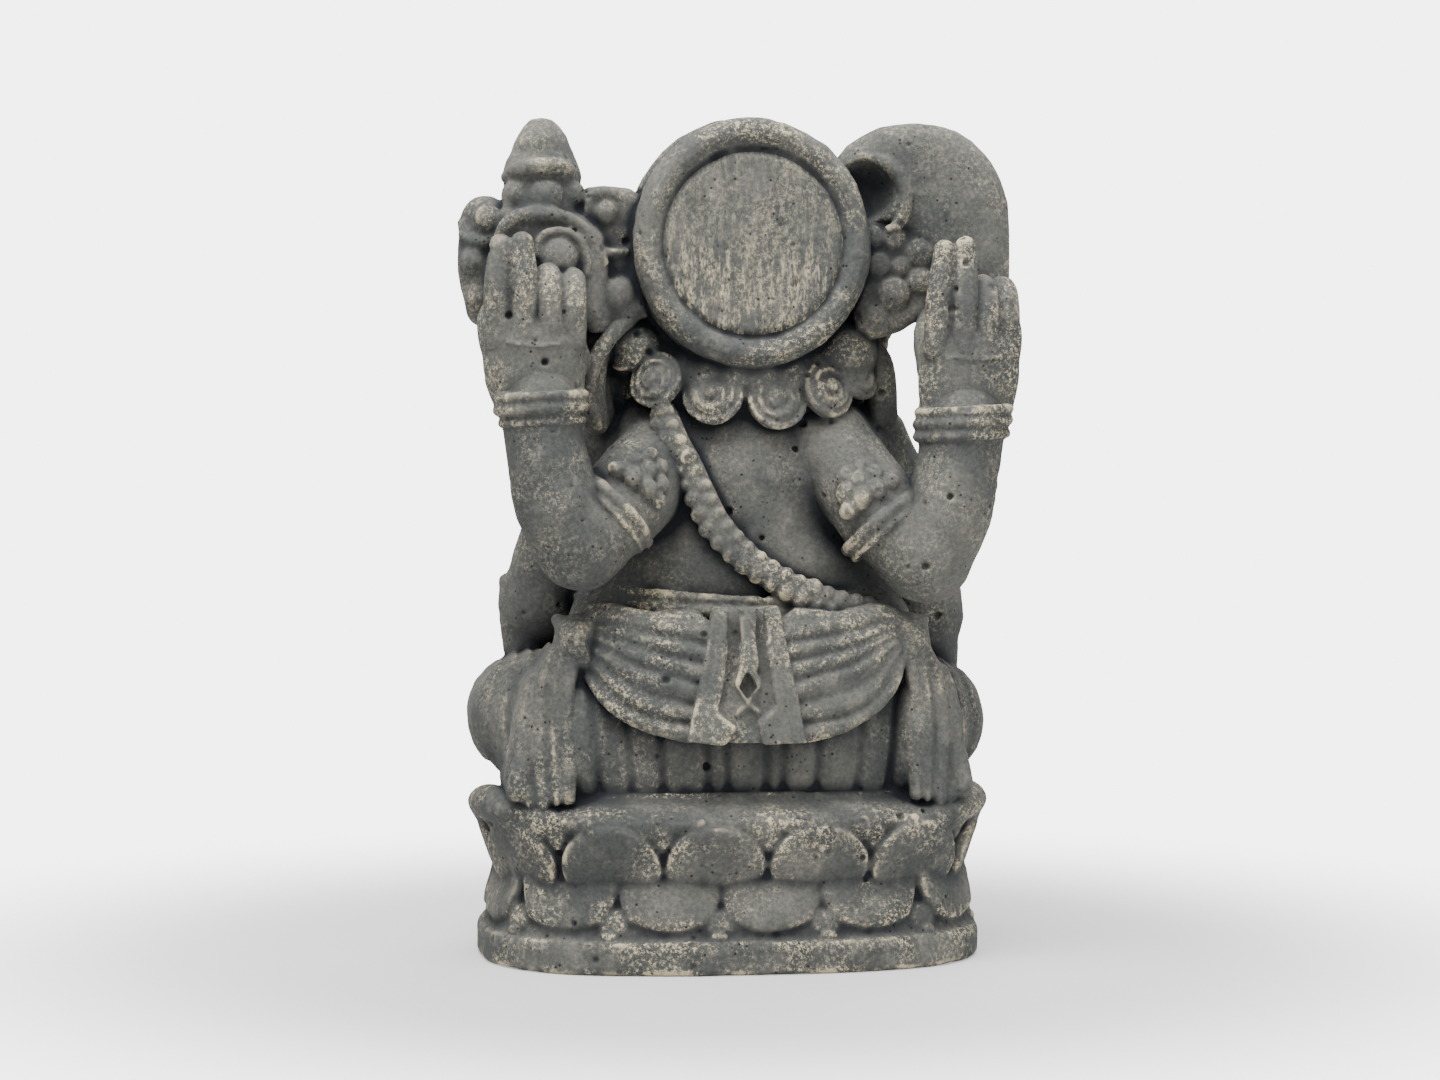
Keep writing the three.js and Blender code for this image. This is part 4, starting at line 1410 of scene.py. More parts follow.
def carve_finial():
    """What the left rear hand holds: a stepped bud over bead and band, with a scroll at each side."""
    x, y = 89.6, 42.0
    bud = spun(
        [
            (0, 286), (17, 288), (18, 320), (18.8, 340), (18.6, 346), (17.6, 352), (17.4, 356),
            (17.8, 359.5), (17.2, 363), (16.0, 366.6), (14.4, 369.6), (13.0, 373), (10.8, 378),
            (8.2, 381.8), (4.8, 384.8), (0, 385.8),
        ],
        (x, y, 0),
        "Z",
        (1.0, 0.85),
    )
    tip = egg((x + 1.4, y + 5.5, 373.4), (9.8, 6.6, 7.6))
    band = ribs(
        [
            (
                [(106, 44, 358), (100, 54, 362), (91, 57.5, 363), (82, 55, 362.4), (76, 45, 359)],
                [3, 3.8, 3.8, 3.8, 3]
            )
        ]
    )
    pearls = beads(
        [
            ((102.6, 51.5, 351.4), (0.5, 1, 0), 5.8), ((88.4, 55.5, 350.4), (0, 1, 0), 7.8),
            ((75.4, 50.5, 351.4), (-0.6, 1, 0), 5.2), ((x, y - 12, 351), (0, -1, 0), 7.0),
            ((x + 11, y - 9, 351), (1, -1, 0), 6.0), ((x - 11, y - 9, 351), (-1, -1, 0), 6.0),
        ],
        0.7,
        1.0,
        1.0,
        0.04,
        11,
    )
    arch = ribs(
        [
            (
                [
                    (110, 55, 324), (108, 58, 334), (102, 58.5, 340), (90, 59, 341.8), (77, 58.5, 339),
                    (68, 57, 331), (62, 54, 319)
                ],
                [2.8, 3.2, 3.2, 3.2, 3.0, 2.8, 2.4],
            ),
            (
                [
                    (93, 59, 323), (91, 60, 331), (83, 60.5, 334), (75, 60, 331), (70.6, 59, 323),
                    (70, 58, 314)
                ],
                [1.6, 2.0, 2.2, 2.2, 2.0, 1.6],
            ),
            ([(68, 53, 327.5), (60, 52.5, 325), (51, 51.5, 325.5)], [1.4, 1.8, 1.4]),
        ]
    )
    web = plate(
        [
            (60, 292), (60, 326), (66, 338), (76, 345), (90, 347), (104, 346), (112, 336), (114, 300),
            (90, 288)
        ],
        42.0,
        16.5,
        12.0,
        smooth=2,
    )
    back = plate(
        [(42, 296), (40, 330), (44, 351), (56, 355), (66, 355), (73, 351), (78, 330), (76, 294)],
        34.0,
        17.0,
        8.0,
        smooth=2,
    )
    bud_inside = egg((83, 57, 322), (9.5, 8.0, 10.5))
    left_scroll = merge(
        [
            limb([(115, 40, 300), (117.0, 40, 318), (115.0, 40, 340)], [9.0, 10.4, 10.6], (1, 0.95, 1)),
            egg((114.4, 50, 339.4), (6.4, 4.6, 6.4)),
            limb(
                [(125.5, 43, 338), (124, 47, 331), (116, 50.5, 329.5), (109, 51, 333)],
                [1.8, 2.6, 2.6, 1.8]
            ),
            egg((121.0, 47, 320.5), (6.0, 5.0, 7.2)),
            egg((119.0, 45, 304.5), (5.4, 5.4, 7.6)),
            limb([(106.5, 51, 350), (105.5, 51, 345), (108.5, 51, 337)], [2.0, 2.4, 2.0]),
        ],
        2.0,
    )
    right_scroll = merge(
        [
            limb([(66, 36, 290), (64, 37, 318), (61.5, 38, 343)], [9, 11, 11.8], (1, 0.85, 1)),
            egg((61.2, 51.0, 343.4), (5.2, 4.2, 5.2)),
            limb(
                [(70, 50, 343), (67.5, 51, 350), (60, 51.5, 352), (53.5, 50, 348), (53, 49, 340)],
                [1.8, 2.2, 2.4, 2.2, 1.8]
            ),
            egg((56, 50, 307), (8.0, 5.0, 8.0)),
            egg((65, 51, 316), (5.2, 4.6, 7)),
            egg((66, 50, 297), (6.5, 5, 9)),
        ],
        2.0,
    )
    stem = limb([(91, 42, 262), (90, 42, 285), (89.6, 42, 305)], [8, 11, 16])
    parts = [bud, tip, band, pearls, web, back, bud_inside, arch, left_scroll, right_scroll, stem]
    carve("jewelled_finial", merge(parts, 1.5), blend=1.5)


def carve_axe():
    blade = plate(
        [
            (-44, 366), (-50, 374), (-58, 380), (-70, 384.6), (-87, 385.6), (-106, 381.3), (-119.5, 369),
            (-126.5, 351), (-129, 332), (-128, 311), (-122, 297), (-104, 294), (-93, 300), (-89, 316),
            (-80, 331), (-66, 338), (-50, 340),
        ],
        35,
        12.5,
        rounding=14.0,
        smooth=4,
    )
    hollow = egg((-57.5, 50, 353), (15.5, 15, 15.0))
    lip = ribs(
        [
            (
                [
                    (-54, 45.5, 369.5), (-62, 46.5, 369), (-70, 47, 365), (-76, 47.0, 357),
                    (-77, 47.0, 347), (-73.5, 46.6, 339), (-68, 46, 336),
                ],
                [1.8, 2.6, 3.4, 3.6, 3.4, 2.8, 1.8],
            )
        ]
    )
    hand_hood = ribs(
        [
            (
                [
                    (-84, 56, 325), (-86, 57, 333), (-95, 58, 337.4), (-105, 57, 335),
                    (-109.5, 55, 326), (-109, 54, 315)
                ],
                [1.8, 2.2, 2.4, 2.4, 2.2, 1.8],
            )
        ]
    )
    carve("axe_blade", merge([cut(blade, [hollow], 1.5), lip, hand_hood], 0.9), blend=1.0)
    shaft = limb([(-100, 40, 250), (-99.5, 40, 270), (-98, 38, 300)], [9, 9, 9])
    carve("axe_shaft", shaft, blend=2.0)


def carve_front_arm(side, label):
    s = side
    if side > 0:
        shoulder, elbow, wrist, knuckles = (54, 6, 236), (86, -16, 163), (60, -70, 168), (46, -82, 170)
    else:
        shoulder, elbow, wrist, knuckles = (-66, 4, 238), (-97, -16, 156), (-68, -70, 166), (-54, -84, 168)
    middle = tuple((a + b) / 2 + c for a, b, c in zip(shoulder, elbow, (s * 4, -1, 2)))
    upper = limb([shoulder, middle, elbow], [20, 19.5, 18.5])
    carve(f"{label}_front_upper_arm", upper, blend=4.0)
    low, high = (138, 176) if side > 0 else (130, 170)
    sleeve = limb(
        [(s * 91 if side > 0 else -101, -20, low), (s * 91 if side > 0 else -101, -18, high + 4)],
        [13.5, 15]
    )
    sleeve = kept_in(sleeve, (-140, -60, low), (140, 60, high), 3.0)
    fore = limb([elbow, tuple((np.array(elbow) + wrist) / 2), wrist], [18, 15.5, 12.0])
    axis = np.array(wrist, float) - elbow
    axis /= np.linalg.norm(axis)
    bands = hoops(
        [
            (tuple(np.array(wrist) - axis * d), tuple(axis), 12.2 + d * 0.06, t)
            for d, t in ((3, 2.6), (8, 2.9), (13, 2.0))
        ]
    )
    carve(f"{label}_front_forearm", merge([fore, sleeve, bands], 4.0), blend=4.0)
    k = np.array(knuckles, float)
    palm = egg(k, (13.5, 11, 11), (0, 0, s * 0.5))
    if side > 0:
        curl = [
            limb(
                [k + (-4 + 6.2 * i, -6, -4), k + (-7 + 6.2 * i, -12, 2), k + (-6 + 6.2 * i, -9, 9)],
                [3.8, 3.8, 3.2]
            )
            for i in range(4)
        ]
        curl.append(limb([k + (10, 4, 2), k + (6, 0, 10)], [4.5, 3.6]))
        bowl = spun(
            [
                (0, 175), (9, 175.5), (14, 178), (19, 184), (21.4, 192), (21.6, 195.5), (20, 197),
                (18.2, 195.6), (0, 195)
            ],
            (44, -84, 0),
            "Z",
            (1, 0.86),
        )
        sweets = []
        for radius, count, z, size in ((12.5, 7, 198, 6.4), (5.5, 4, 203, 6.6), (0.1, 1, 208.5, 6.0)):
            for i in range(count):
                a = 2 * math.pi * i / count + z
                sweets.append(
                    ((44 + radius * math.cos(a), -84 + 0.86 * radius * math.sin(a), z), (0, 0, 1), size)
                )
        carve("sweet_bowl", merge([bowl, beads(sweets, 1, 1, 1, 0.12, 13)], 0.6), "worn_relief", blend=0.8)
    else:
        curl = [
            limb(
                [k + (6, -4, -9 + 5.4 * i), k + (0, -12, -9 + 5.4 * i), k + (-7, -7, -8.5 + 5.4 * i)],
                [3.6, 3.9, 3.4]
            )
            for i in range(4)
        ]
        curl.append(limb([k + (8, 2, 6), k + (3, -5, 13)], [4.6, 3.8]))
        held = limb(
            [(-54, -86, 150), (-54, -90, 178), (-51, -89, 196), (-47, -86, 210)], [5.4, 6.0, 5.0, 2.6]
        )
        grip = hoops([((-54, -89, 186), (0, 0, 1), 5.6, 1.3)])
        carve("held_tusk", merge([held, grip], 0.8), "worn_relief", blend=0.8)
    carve(f"{label}_front_hand", merge([palm, *curl], 1.2), blend=1.2)


# ---------------------------------------------------------------- headdress


def carve_crown(settings):
    z = settings.height / MM
    back = settings.back / MM
    radius = settings.radius / MM
    panel = settings.panel_radius / MM
    centre = (MID - 0.8, 0, z)
    oval = (0.955, 1.0)
    drum = spun(
        [
            (0, 2), (46, 2), (53, 6), (57, 16), (57.6, 26), (58.2, 30), (57.2, 32.4), (58.4, 36),
            (58.2, 40), (56.4, 43), (56.8, 48), (0, 48),
        ],
        centre,
        "Y",
        oval,
    )
    nape = egg((MID, 18, 290), (44, 34, 28))
    carve("crown_drum", merge([drum, nape], 6.0), blend=1.0)
    rim = spun(
        [
            (panel - 4, back - 16), (radius - 0.6, back - 16), (radius + 0.6, back - 12),
            (radius + 0.4, back - 7), (radius - 1.4, back - 2.8), (radius - 4.4, back - 0.4),
            (radius - 8, back - 0.4), (
                panel + 3.8, back - 2.6
            ), (panel + 1.6, back - 5.2), (panel - 4, back - 6.2),
        ],
        centre,
        "Y",
        oval,
    )
    carve("crown_rim", rim, "worn_relief", blend=0.8)
    face = spun(
        [
            (0, back - 17), (panel, back - 17), (panel + 0.6, back - 8),
            (panel - 0.4, back - 4.2), (panel - 2.2, back - 2.6), (0, back - 2.0),
        ],
        (centre[0], 0, z - 0.6),
        "Y",
        (1.0, 1.0),
    )
    carve("crown_panel", face, "sawn_face", blend=1.6)
    band = hoops(
        [
            ((MID, -22, 339), (0, -0.8, 1), 39.5, 3.8),
            ((MID, -19, 334), (0, -0.8, 1), 42.5, 2.8),
            ((MID, -25, 344), (0, -0.8, 1), 35.0, 2.8),
        ],
        60,
    )
    jewels = []
    n = Vector((0, -0.8, 1)).normalized()
    u = Vector((1, 0, 0))
    v = n.cross(u)
    for k in range(-5, 6):
        a = 0.27 * k
        out = (math.sin(a) * u - math.cos(a) * v).normalized()
        p = Vector((MID, -22, 340.5)) + out * 41.5
        jewels.append((tuple(p), tuple(out), 4.2 if k else 6.5))
    peak = plate(
        [(MID - 13, 346), (MID - 9, 356), (MID, 372), (MID + 9, 356), (MID + 13, 346), (MID, 340)],
        lambda x, z: -57 + (z - 346) * 0.35,
        4.0,
        3.0,
        smooth=3,
    )
    boss = beads([((MID, -61, 352), (0, -1, 0.3), 6.0)])
    diadem = merge([band, beads(jewels, 0.8, 1.0, 1.0, 0.05, 17), peak, boss], 0.8)
    carve("brow_diadem", diadem, "worn_relief", blend=0.8)
    for side, label in SIDES:
        if side < 0:
            spots = [
                (-72.1, 332.6, 5.2), (-84.0, 326.2, 6.4), (-75.4, 320, 4.4), (-84.2, 313.2, 5.6),
                (-71.9, 307, 7.2), (-65.0, 320.5, 5.2), (-62.5, 333, 4.6),
            ]
            fill = plate(
                [
                    (-54, 342), (-70, 340), (-92, 334), (-93, 304), (-82, 294), (-70, 288), (-54, 290)
                ], 33, 11.0, 6.0, 2
            )
            lobe = [fill, egg((-63.5, 36, 297), (10, 10, 9)), egg((-56, 34, 316), (12, 10, 16))]
            depth = 44.0
        else:
            spots = [(50, 331, 5), (56, 322, 5), (48, 314, 4.4)]
            fill = plate(
                [(42, 342), (56, 340), (66, 330), (66, 300), (56, 291), (42, 292)], 30, 9.0, 6.0, 2
            )
            lobe = [fill, egg((57, 36, 300), (9, 9, 8))]
            depth = 40.5
        bosses = beads([((x, depth, z), (0, 1, 0), r) for x, z, r in spots], 0.55, 1.14, 1.14, 0.05, 19)
        carve(f"{label}_ear_flower", merge([*lobe, bosses], 0.8), blend=1.2)


# ---------------------------------------------------------------- head


def carve_head():
    skull = merge(
        [
            egg((MID, -6, 314), (48, 46, 50)),
            egg((MID - 20, -24, 334), (22, 22, 20)),
            egg((MID + 20, -24, 334), (22, 22, 20)),
            egg((MID - 26, -30, 300), (20, 20, 18)),
            egg((MID + 26, -30, 300), (20, 20, 18)),
            egg((MID, -40, 312), (22, 18, 24)),
            limb([(MID - 14, -38, 284), (MID + 14, -38, 284)], [11, 11]),
        ],
        9.0,
    )
    sockets = [egg((MID + s * 25, -51, 318), (9.5, 5, 5.2), (0, s * -0.15, s * 0.35)) for s in (1, -1)]
    skull = cut(skull, sockets, 3.0)
    details = []
    for s in (1, -1):
        details.append(egg((MID + s * 25, -45.5, 317.4), (7.8, 5.5, 4.2), (0, s * -0.15, s * 0.4)))
    lids = ribs(
        [
            (
                [
                    (MID + s * 15.5, -50.5, 316), (MID + s * 21, -51.5, 321.5),
                    (MID + s * 28, -48.6, 322), (MID + s * 35, -42, 317)
                ],
                [1.0, 1.7, 1.7, 1.0],
            )
            for s in (1, -1)
        ]
        + [
            (
                [
                    (MID + s * 16, -51, 314.5), (MID + s * 23, -51, 312), (MID + s * 30, -47.4, 312.4),
                    (MID + s * 35, -42.5, 315.6)
                ],
                [0.8, 1.2, 1.2, 0.8],
            )
            for s in (1, -1)
        ]
        + [
            (
                [
                    (MID + s * 10, -53, 324), (MID + s * 20, -53, 330), (MID + s * 31, -48, 330),
                    (MID + s * 39, -38, 324)
                ],
                [1.0, 1.8, 1.8, 0.9],
            )
            for s in (1, -1)
        ]
    )
    carve("head_dome", merge([skull, *details, lids], 0.8), blend=2.0)

    path = [
        (MID, -46, 314), (MID, -60, 296), (MID, -69, 276), (MID + 1, -73, 252), (MID + 5, -76, 230),
        (MID + 16, -80, 214), (MID + 30, -82, 209), (MID + 40, -82, 215),
    ]
    girth = [21, 18.5, 16.5, 14, 12.5, 11, 9.5, 8.5]

    def wrinkles(x, y, z):
        along_trunk = z - 0.25 * np.abs(x - MID)
        wave = np.cos(2 * np.pi * along_trunk / 6.4) ** 3
        facing = np.clip(
            (-y - 52) / 10, 0, 1
        ) * np.clip((z - 218) / 12, 0, 1) * np.clip((304 - z) / 10, 0, 1)
        return 0.75 * facing * wave

    nose = pressed(limb(path, girth), wrinkles)
    nostril = egg((MID + 44, -82, 221), (3.5, 3, 3))
    carve("trunk", cut(nose, [nostril], 1.0), blend=2.5)
    for side, label in SIDES:
        root, middle, end = (
            MID + side * 19, -48, 290
        ), (MID + side * 25, -60, 283), (MID + side * 29, -72, 281)
        if side > 0:
            tusk = limb([root, middle, end], [7, 5.6, 2.6])
        else:
            tusk = limb([root, middle], [7, 6])
        collar = hoops([(root, tuple(np.array(middle) - root), 7.2, 1.5)])
        carve(f"{label}_tusk", merge([tusk, collar], 0.8), "worn_relief", blend=1.2)
        s = side
        outline = [
            (MID + s * 40, 346), (MID + s * 56, 351), (MID + s * 74, 348), (MID + s * 87, 336),
            (MID + s * 90, 320), (MID + s * 84, 304), (MID + s * 74, 292), (MID + s * 69, 276),
            (MID + s * 64, 262), (MID + s * 56, 258), (MID + s * 48, 268), (MID + s * 42, 286),
            (MID + s * 38, 310),
        ]

        def ear_middle(x, z, s=s):
            out = np.abs(x - MID) - 44
            return 2 + 0.16 * out - 0.0035 * (out - 20) ** 2 + 0.04 * (300 - z)

        flap = plate(outline, ear_middle, 4.6, 4.0, smooth=4)
        rolled = ribs(
            [
                (
                    [
                        (px, float(ear_middle(px, pz)) - 2.5, pz)
                        for px, pz in [(MID + s * r, h) for r, h in (
                            (46, 348), (60, 350), (76, 346), (86.5, 334), (88.5, 320), (82.5, 305),
                            (72.5, 292), (67.5, 276), (62, 263))]
                    ],
                    [2.6, 3.0, 3.2, 3.2, 3.2, 3.0, 2.8, 2.6, 2.4],
                ),
                (
                    [
                        (px, float(ear_middle(px, pz)) - 4.4, pz)
                        for px, pz in [
                            (MID + s * r, h) for r, h in ((48, 300), (58, 312), (70, 322), (80, 328))
                        ]
                    ],
                    [1.2, 1.5, 1.4, 1.0],
                ),
                (
                    [
                        (px, float(ear_middle(px, pz)) - 4.4, pz)
                        for px, pz in [
                            (MID + s * r, h) for r, h in ((47, 292), (58, 298), (68, 304), (78, 312))
                        ]
                    ],
                    [1.2, 1.5, 1.4, 1.0],
                ),
            ]
        )
        carve(f"{label}_ear", merge([flap, rolled], 1.5), blend=2.0)
        if side > 0:
            lock = merge(
                [
                    limb([(50, 24, 292), (61, 28, 283), (64, 28, 268), (62, 26, 250)], [5, 6.5, 7, 7.5]),
                    limb(
                        [
                            (47, 42, 297), (55, 48, 291), (63, 51, 282), (68, 50, 270), (68.5, 46, 258),
                            (64, 42, 246)
                        ],
                        [2.6, 3.6, 3.8, 3.4, 3.0, 2.4],
                    ),
                    limb([(58, 34, 290), (66, 38, 276), (67, 38, 260), (64, 34, 248)], [5, 7, 7, 6]),
                ],
                3.0,
            )
        else:
            lock = limb([(-60, 24, 290), (-68, 26, 276), (-70, 24, 262), (-70, 22, 250)], [5, 6.5, 7.5, 8])
        carve(f"{label}_shoulder_lock", lock, blend=2.0)


# ---------------------------------------------------------------- dress


def back_surface(x, z):
    """How far back the hips stand at x and z."""
    flat = np.abs((x - MID) / 90) ** 4 + ((z - 124) / 84) ** 2
    return 8 + 67 * np.sqrt(np.maximum(0.0, 1 - flat))


def carve_dress(settings):
    belt = settings.belt / MM
    around = []
    for z, thick, swell in ((belt + 4.6, 2.5, 0.4), (belt - 1.2, 3.2, 0.8)):
        loop = []
        for i in range(48):
            a = 2 * math.pi * i / 48
            x = MID + (73 + swell) * math.cos(a)
            y = -1 + (57.5 + swell) * math.sin(a)
            loop.append((x, y, z - 3.4 * max(0, math.sin(a)) ** 2 + 0.03 * (x - MID)))
        around.append((loop, thick))
    points, edges, girth = [], [], []
    for loop, thick in around:
        first = len(points)
        points.extend(loop)
        edges.extend((first + i, first + (i + 1) % len(loop)) for i in range(len(loop)))
        girth.extend([thick] * len(loop))
    belt_rings = grown("rib", points, edges, {"girth": girth}, Sides=10)
    carve("waist_belt", belt_rings, "worn_relief", blend=2.5)

    folds = {
        "left": [
            [(75, 153), (63.9, 160.1), (40.4, 156.3), (16, 152.5)],
            [(76, 151), (67.2, 155.7), (42.9, 149.6), (18, 144)],
            [(76, 149), (68.3, 151.3), (47.6, 142.6), (20, 136)],
            [(76, 147), (70.3, 147.9), (52.3, 136), (24, 127)],
            [(76, 145), (72.1, 143.4), (56.8, 128.5), (43.3, 120.5), (24, 117)],
            [(76, 143), (73.4, 140.3), (67.0, 129.1), (58.4, 119.5), (44, 112.4), (25, 109)],
        ],
        "right": [
            [(-77, 153), (-64.7, 159.1), (-44, 156.1), (-17, 152.8)],
            [(-78, 151), (-66.7, 154.7), (-48.3, 149.4), (-19, 145)],
            [(-78, 149), (-67.7, 151.2), (-48, 142.7), (-21, 137)],
            [(-78, 147), (-68.3, 147.2), (-52.3, 136.9), (-22, 127.5)],
            [(-78, 145), (-70.6, 144), (-59.2, 127.9), (-43.1, 119.8), (-22, 117)],
            [(-78, 143), (-72.9, 140.4), (-68.3, 128.8), (-56.9, 118.1), (-41, 111), (-24, 108)],
        ],
    }
    for label, paths in folds.items():
        made = []
        for k, path in enumerate(paths):
            line = [(x, float(back_surface(x, z)) - 0.8, z) for x, z in path]
            made.append((line, [1.8, 2.6, 3.6, 3.9 if k < 5 else 5.2]))
        between = []
        for upper, lower in zip(paths, paths[1:]):
            a, b = (along([(x, z, 0) for x, z in p], 8)[:, :2] for p in (upper, lower))
            a, b = (p[(np.linspace(0, len(p) - 1, 9)).astype(int)] for p in (a, b))
            between.append([tuple(p) for p in (a + b) / 2])
        bed = plate(
            [
                (x, z + 6) for x, z in paths[0]
            ] + paths[-1][::-1], lambda x, z: back_surface(x, z) - 7.0, 8.5, 3.0, smooth=3
        )
        swag = creased(merge([bed, ribs(made)], 1.6), between, 1.4, 1.0, 80)
        carve(f"{label}_sash_swag", swag, "worn_relief", blend=1.6)
    for side, label in SIDES:
        x = 76 if side > 0 else -79
        knot = merge(
            [
                egg((x - side * 1, 48, 148), (10.5, 12, 13)),
                egg((x - side * 3, 41, 137), (9, 15, 16)),
                limb([(x - side * 9, 52, 160), (x, 59.5, 150), (x + side * 8, 49, 139)], [2.6, 3.8, 3.4]),
                limb([(x + side * 7, 46, 158), (x, 59, 147), (x - side * 8, 54, 136)], [2.8, 3.8, 3.2]),
            ],
            2.4,
        )
        carve(f"{label}_sash_knot", knot, blend=2.5)

    def on_back(lift):
        return lambda x, z: 67.5 + (162 - z) * 0.165 - ((162 - z) / 60) ** 2 * 1.5 + lift - 0.004 * (x * x)

    base = plate([(14.6, 165), (-14.8, 165), (-26.4, 104.0), (27.0, 105.0)], on_back(0), 5.0, 1.5)
    outer = [
        plate(
            [
                (14.8, 165), (8.0, 165), (9.0, 148), (12.4, 128), (15, 118.5), (6.4, 111.2),
                (12.2, 103.8), (27.2, 105.2)
            ],
            on_back(2.6),
            5.2,
            1.2
        ),
        plate(
            [
                (-14.8, 165), (-8.2, 165), (-9.4, 148), (-12.6, 128), (-14, 120.5), (-4.6, 113.6),
                (-7.8, 103.6), (-26.6, 104)
            ],
            on_back(2.6),
            5.2,
            1.2
        ),
    ]
    pleat = plate(
        [(3.9, 165), (-4.0, 165), (-4.2, 139), (-6.5, 131), (0.2, 120.5), (6.5, 131), (4.0, 139)],
        on_back(3.8),
        5.6,
        1.2
    )
    hole = plate([(0.2, 136.5), (4.2, 129.4), (0.2, 123.6), (-3.8, 129.4)], on_back(10), 6.0, 0.6)
    tail = on_back(6.0)
    edges_line = ribs(
        [
            ([(x, float(tail(x, z)), z) for x, z in path], [1.1, 1.5, 1.3])
            for path in (
                [(9.2, 150), (12.2, 128), (14.6, 118.8), (9.8, 113.6), (6.2, 111)],
                [(6.2, 111), (9.4, 107), (12.0, 104.4)],
                [(-9.4, 150), (-12.4, 128), (-13.8, 120.6), (-8.8, 116.2), (-4.5, 113.4)],
                [(-4.5, 113.4), (-6.8, 108), (-7.6, 104.2)],
                [(0.2, 122), (3.8, 119), (5.6, 116.5)],
                [(0.2, 122), (-3.4, 119), (-5.0, 117)],
            )
        ],
        spans=3,
    )
    apron = merge([base, *outer, pleat, edges_line], 0.6)
    carve("back_apron", cut(apron, [hole], 0.5), "worn_relief", blend=0.8)

    front = plate(
        [
            (MID - 15, 150), (MID + 15, 150), (MID + 20, 116), (MID + 12, 92), (MID, 84),
            (MID - 12, 92), (MID - 20, 116)
        ],
        lambda x, z: -78 - (150 - z) * 0.06 + 0.004 * (x - MID) ** 2,
        5.0,
        2.0,
        smooth=3,
    )

    def front_folds(x, y, z):
        total = 0
        for k in range(-3, 4):
            total = total + groove(x - MID - k * (4.0 + (150 - z) * 0.028), 1.0, 1.3)
        return total - 0.3

    carve("front_apron", pressed(front, front_folds), "worn_relief", blend=1.0)

    back_path = [
        (35.5, 46, 254), (30, 52, 240), (22.5, 54, 225), (9.2, 54.5, 198.5), (-13.5, 55, 178),
        (-40, 52, 165.5), (-62, 44, 159.5), (-74, 38, 156.5)
    ]
    carve("sacred_thread_back", thread(back_path, 7.4, 21), "worn_relief", blend=1.0)
    front_path = [
        (36, -24, 252), (33, -42, 232), (16, -62, 204), (-14, -67, 180), (-46, -54, 164),
        (-68, -34, 157)
    ]
    carve("sacred_thread_front", thread(front_path, 6.0, 23), "worn_relief", blend=1.0)

    carve_collar()


def thread(path, radius, seed):
    """A thick cord covered with small overlapping scales laid in two staggered lanes."""
    line = along(path, 14)
    core = ribs([(path, [radius * 0.9, radius * 0.9])])
    run = np.concatenate([[0], np.cumsum(np.linalg.norm(np.diff(line, axis=0), axis=1))])
    count = int(run[-1] / (radius * 0.98))
    stations = []
    for k in range(count):
        at = run[-1] * (k + 0.5) / count
        p = np.array([np.interp(at, run, line[:, i]) for i in range(3)])
        q = np.array([np.interp(min(at + 1, run[-1]), run, line[:, i]) for i in range(3)])
        ahead = (q - p) / max(np.linalg.norm(q - p), 1e-6)
        out = p - np.array([MID, -4.0, p[2]])
        out -= ahead * (out @ ahead)
        out /= np.linalg.norm(out)
        across = np.cross(ahead, out)
        for lane, shift in ((-0.44, 0.0), (0.44, 0.5)):
            spot = p + across * radius * lane + out * radius * 0.5 + ahead * shift * run[-1] / count
            roll = math.atan2(float(across[2]), float(ahead[2]))
            stations.append((tuple(spot), tuple(out + across * lane * 0.9 + ahead * 0.35), 1.0, roll))
    scales = beads(stations, radius * 0.5, radius * 0.66, radius * 0.58, 0.26, seed)
    return merge([core, scales], 0.4)


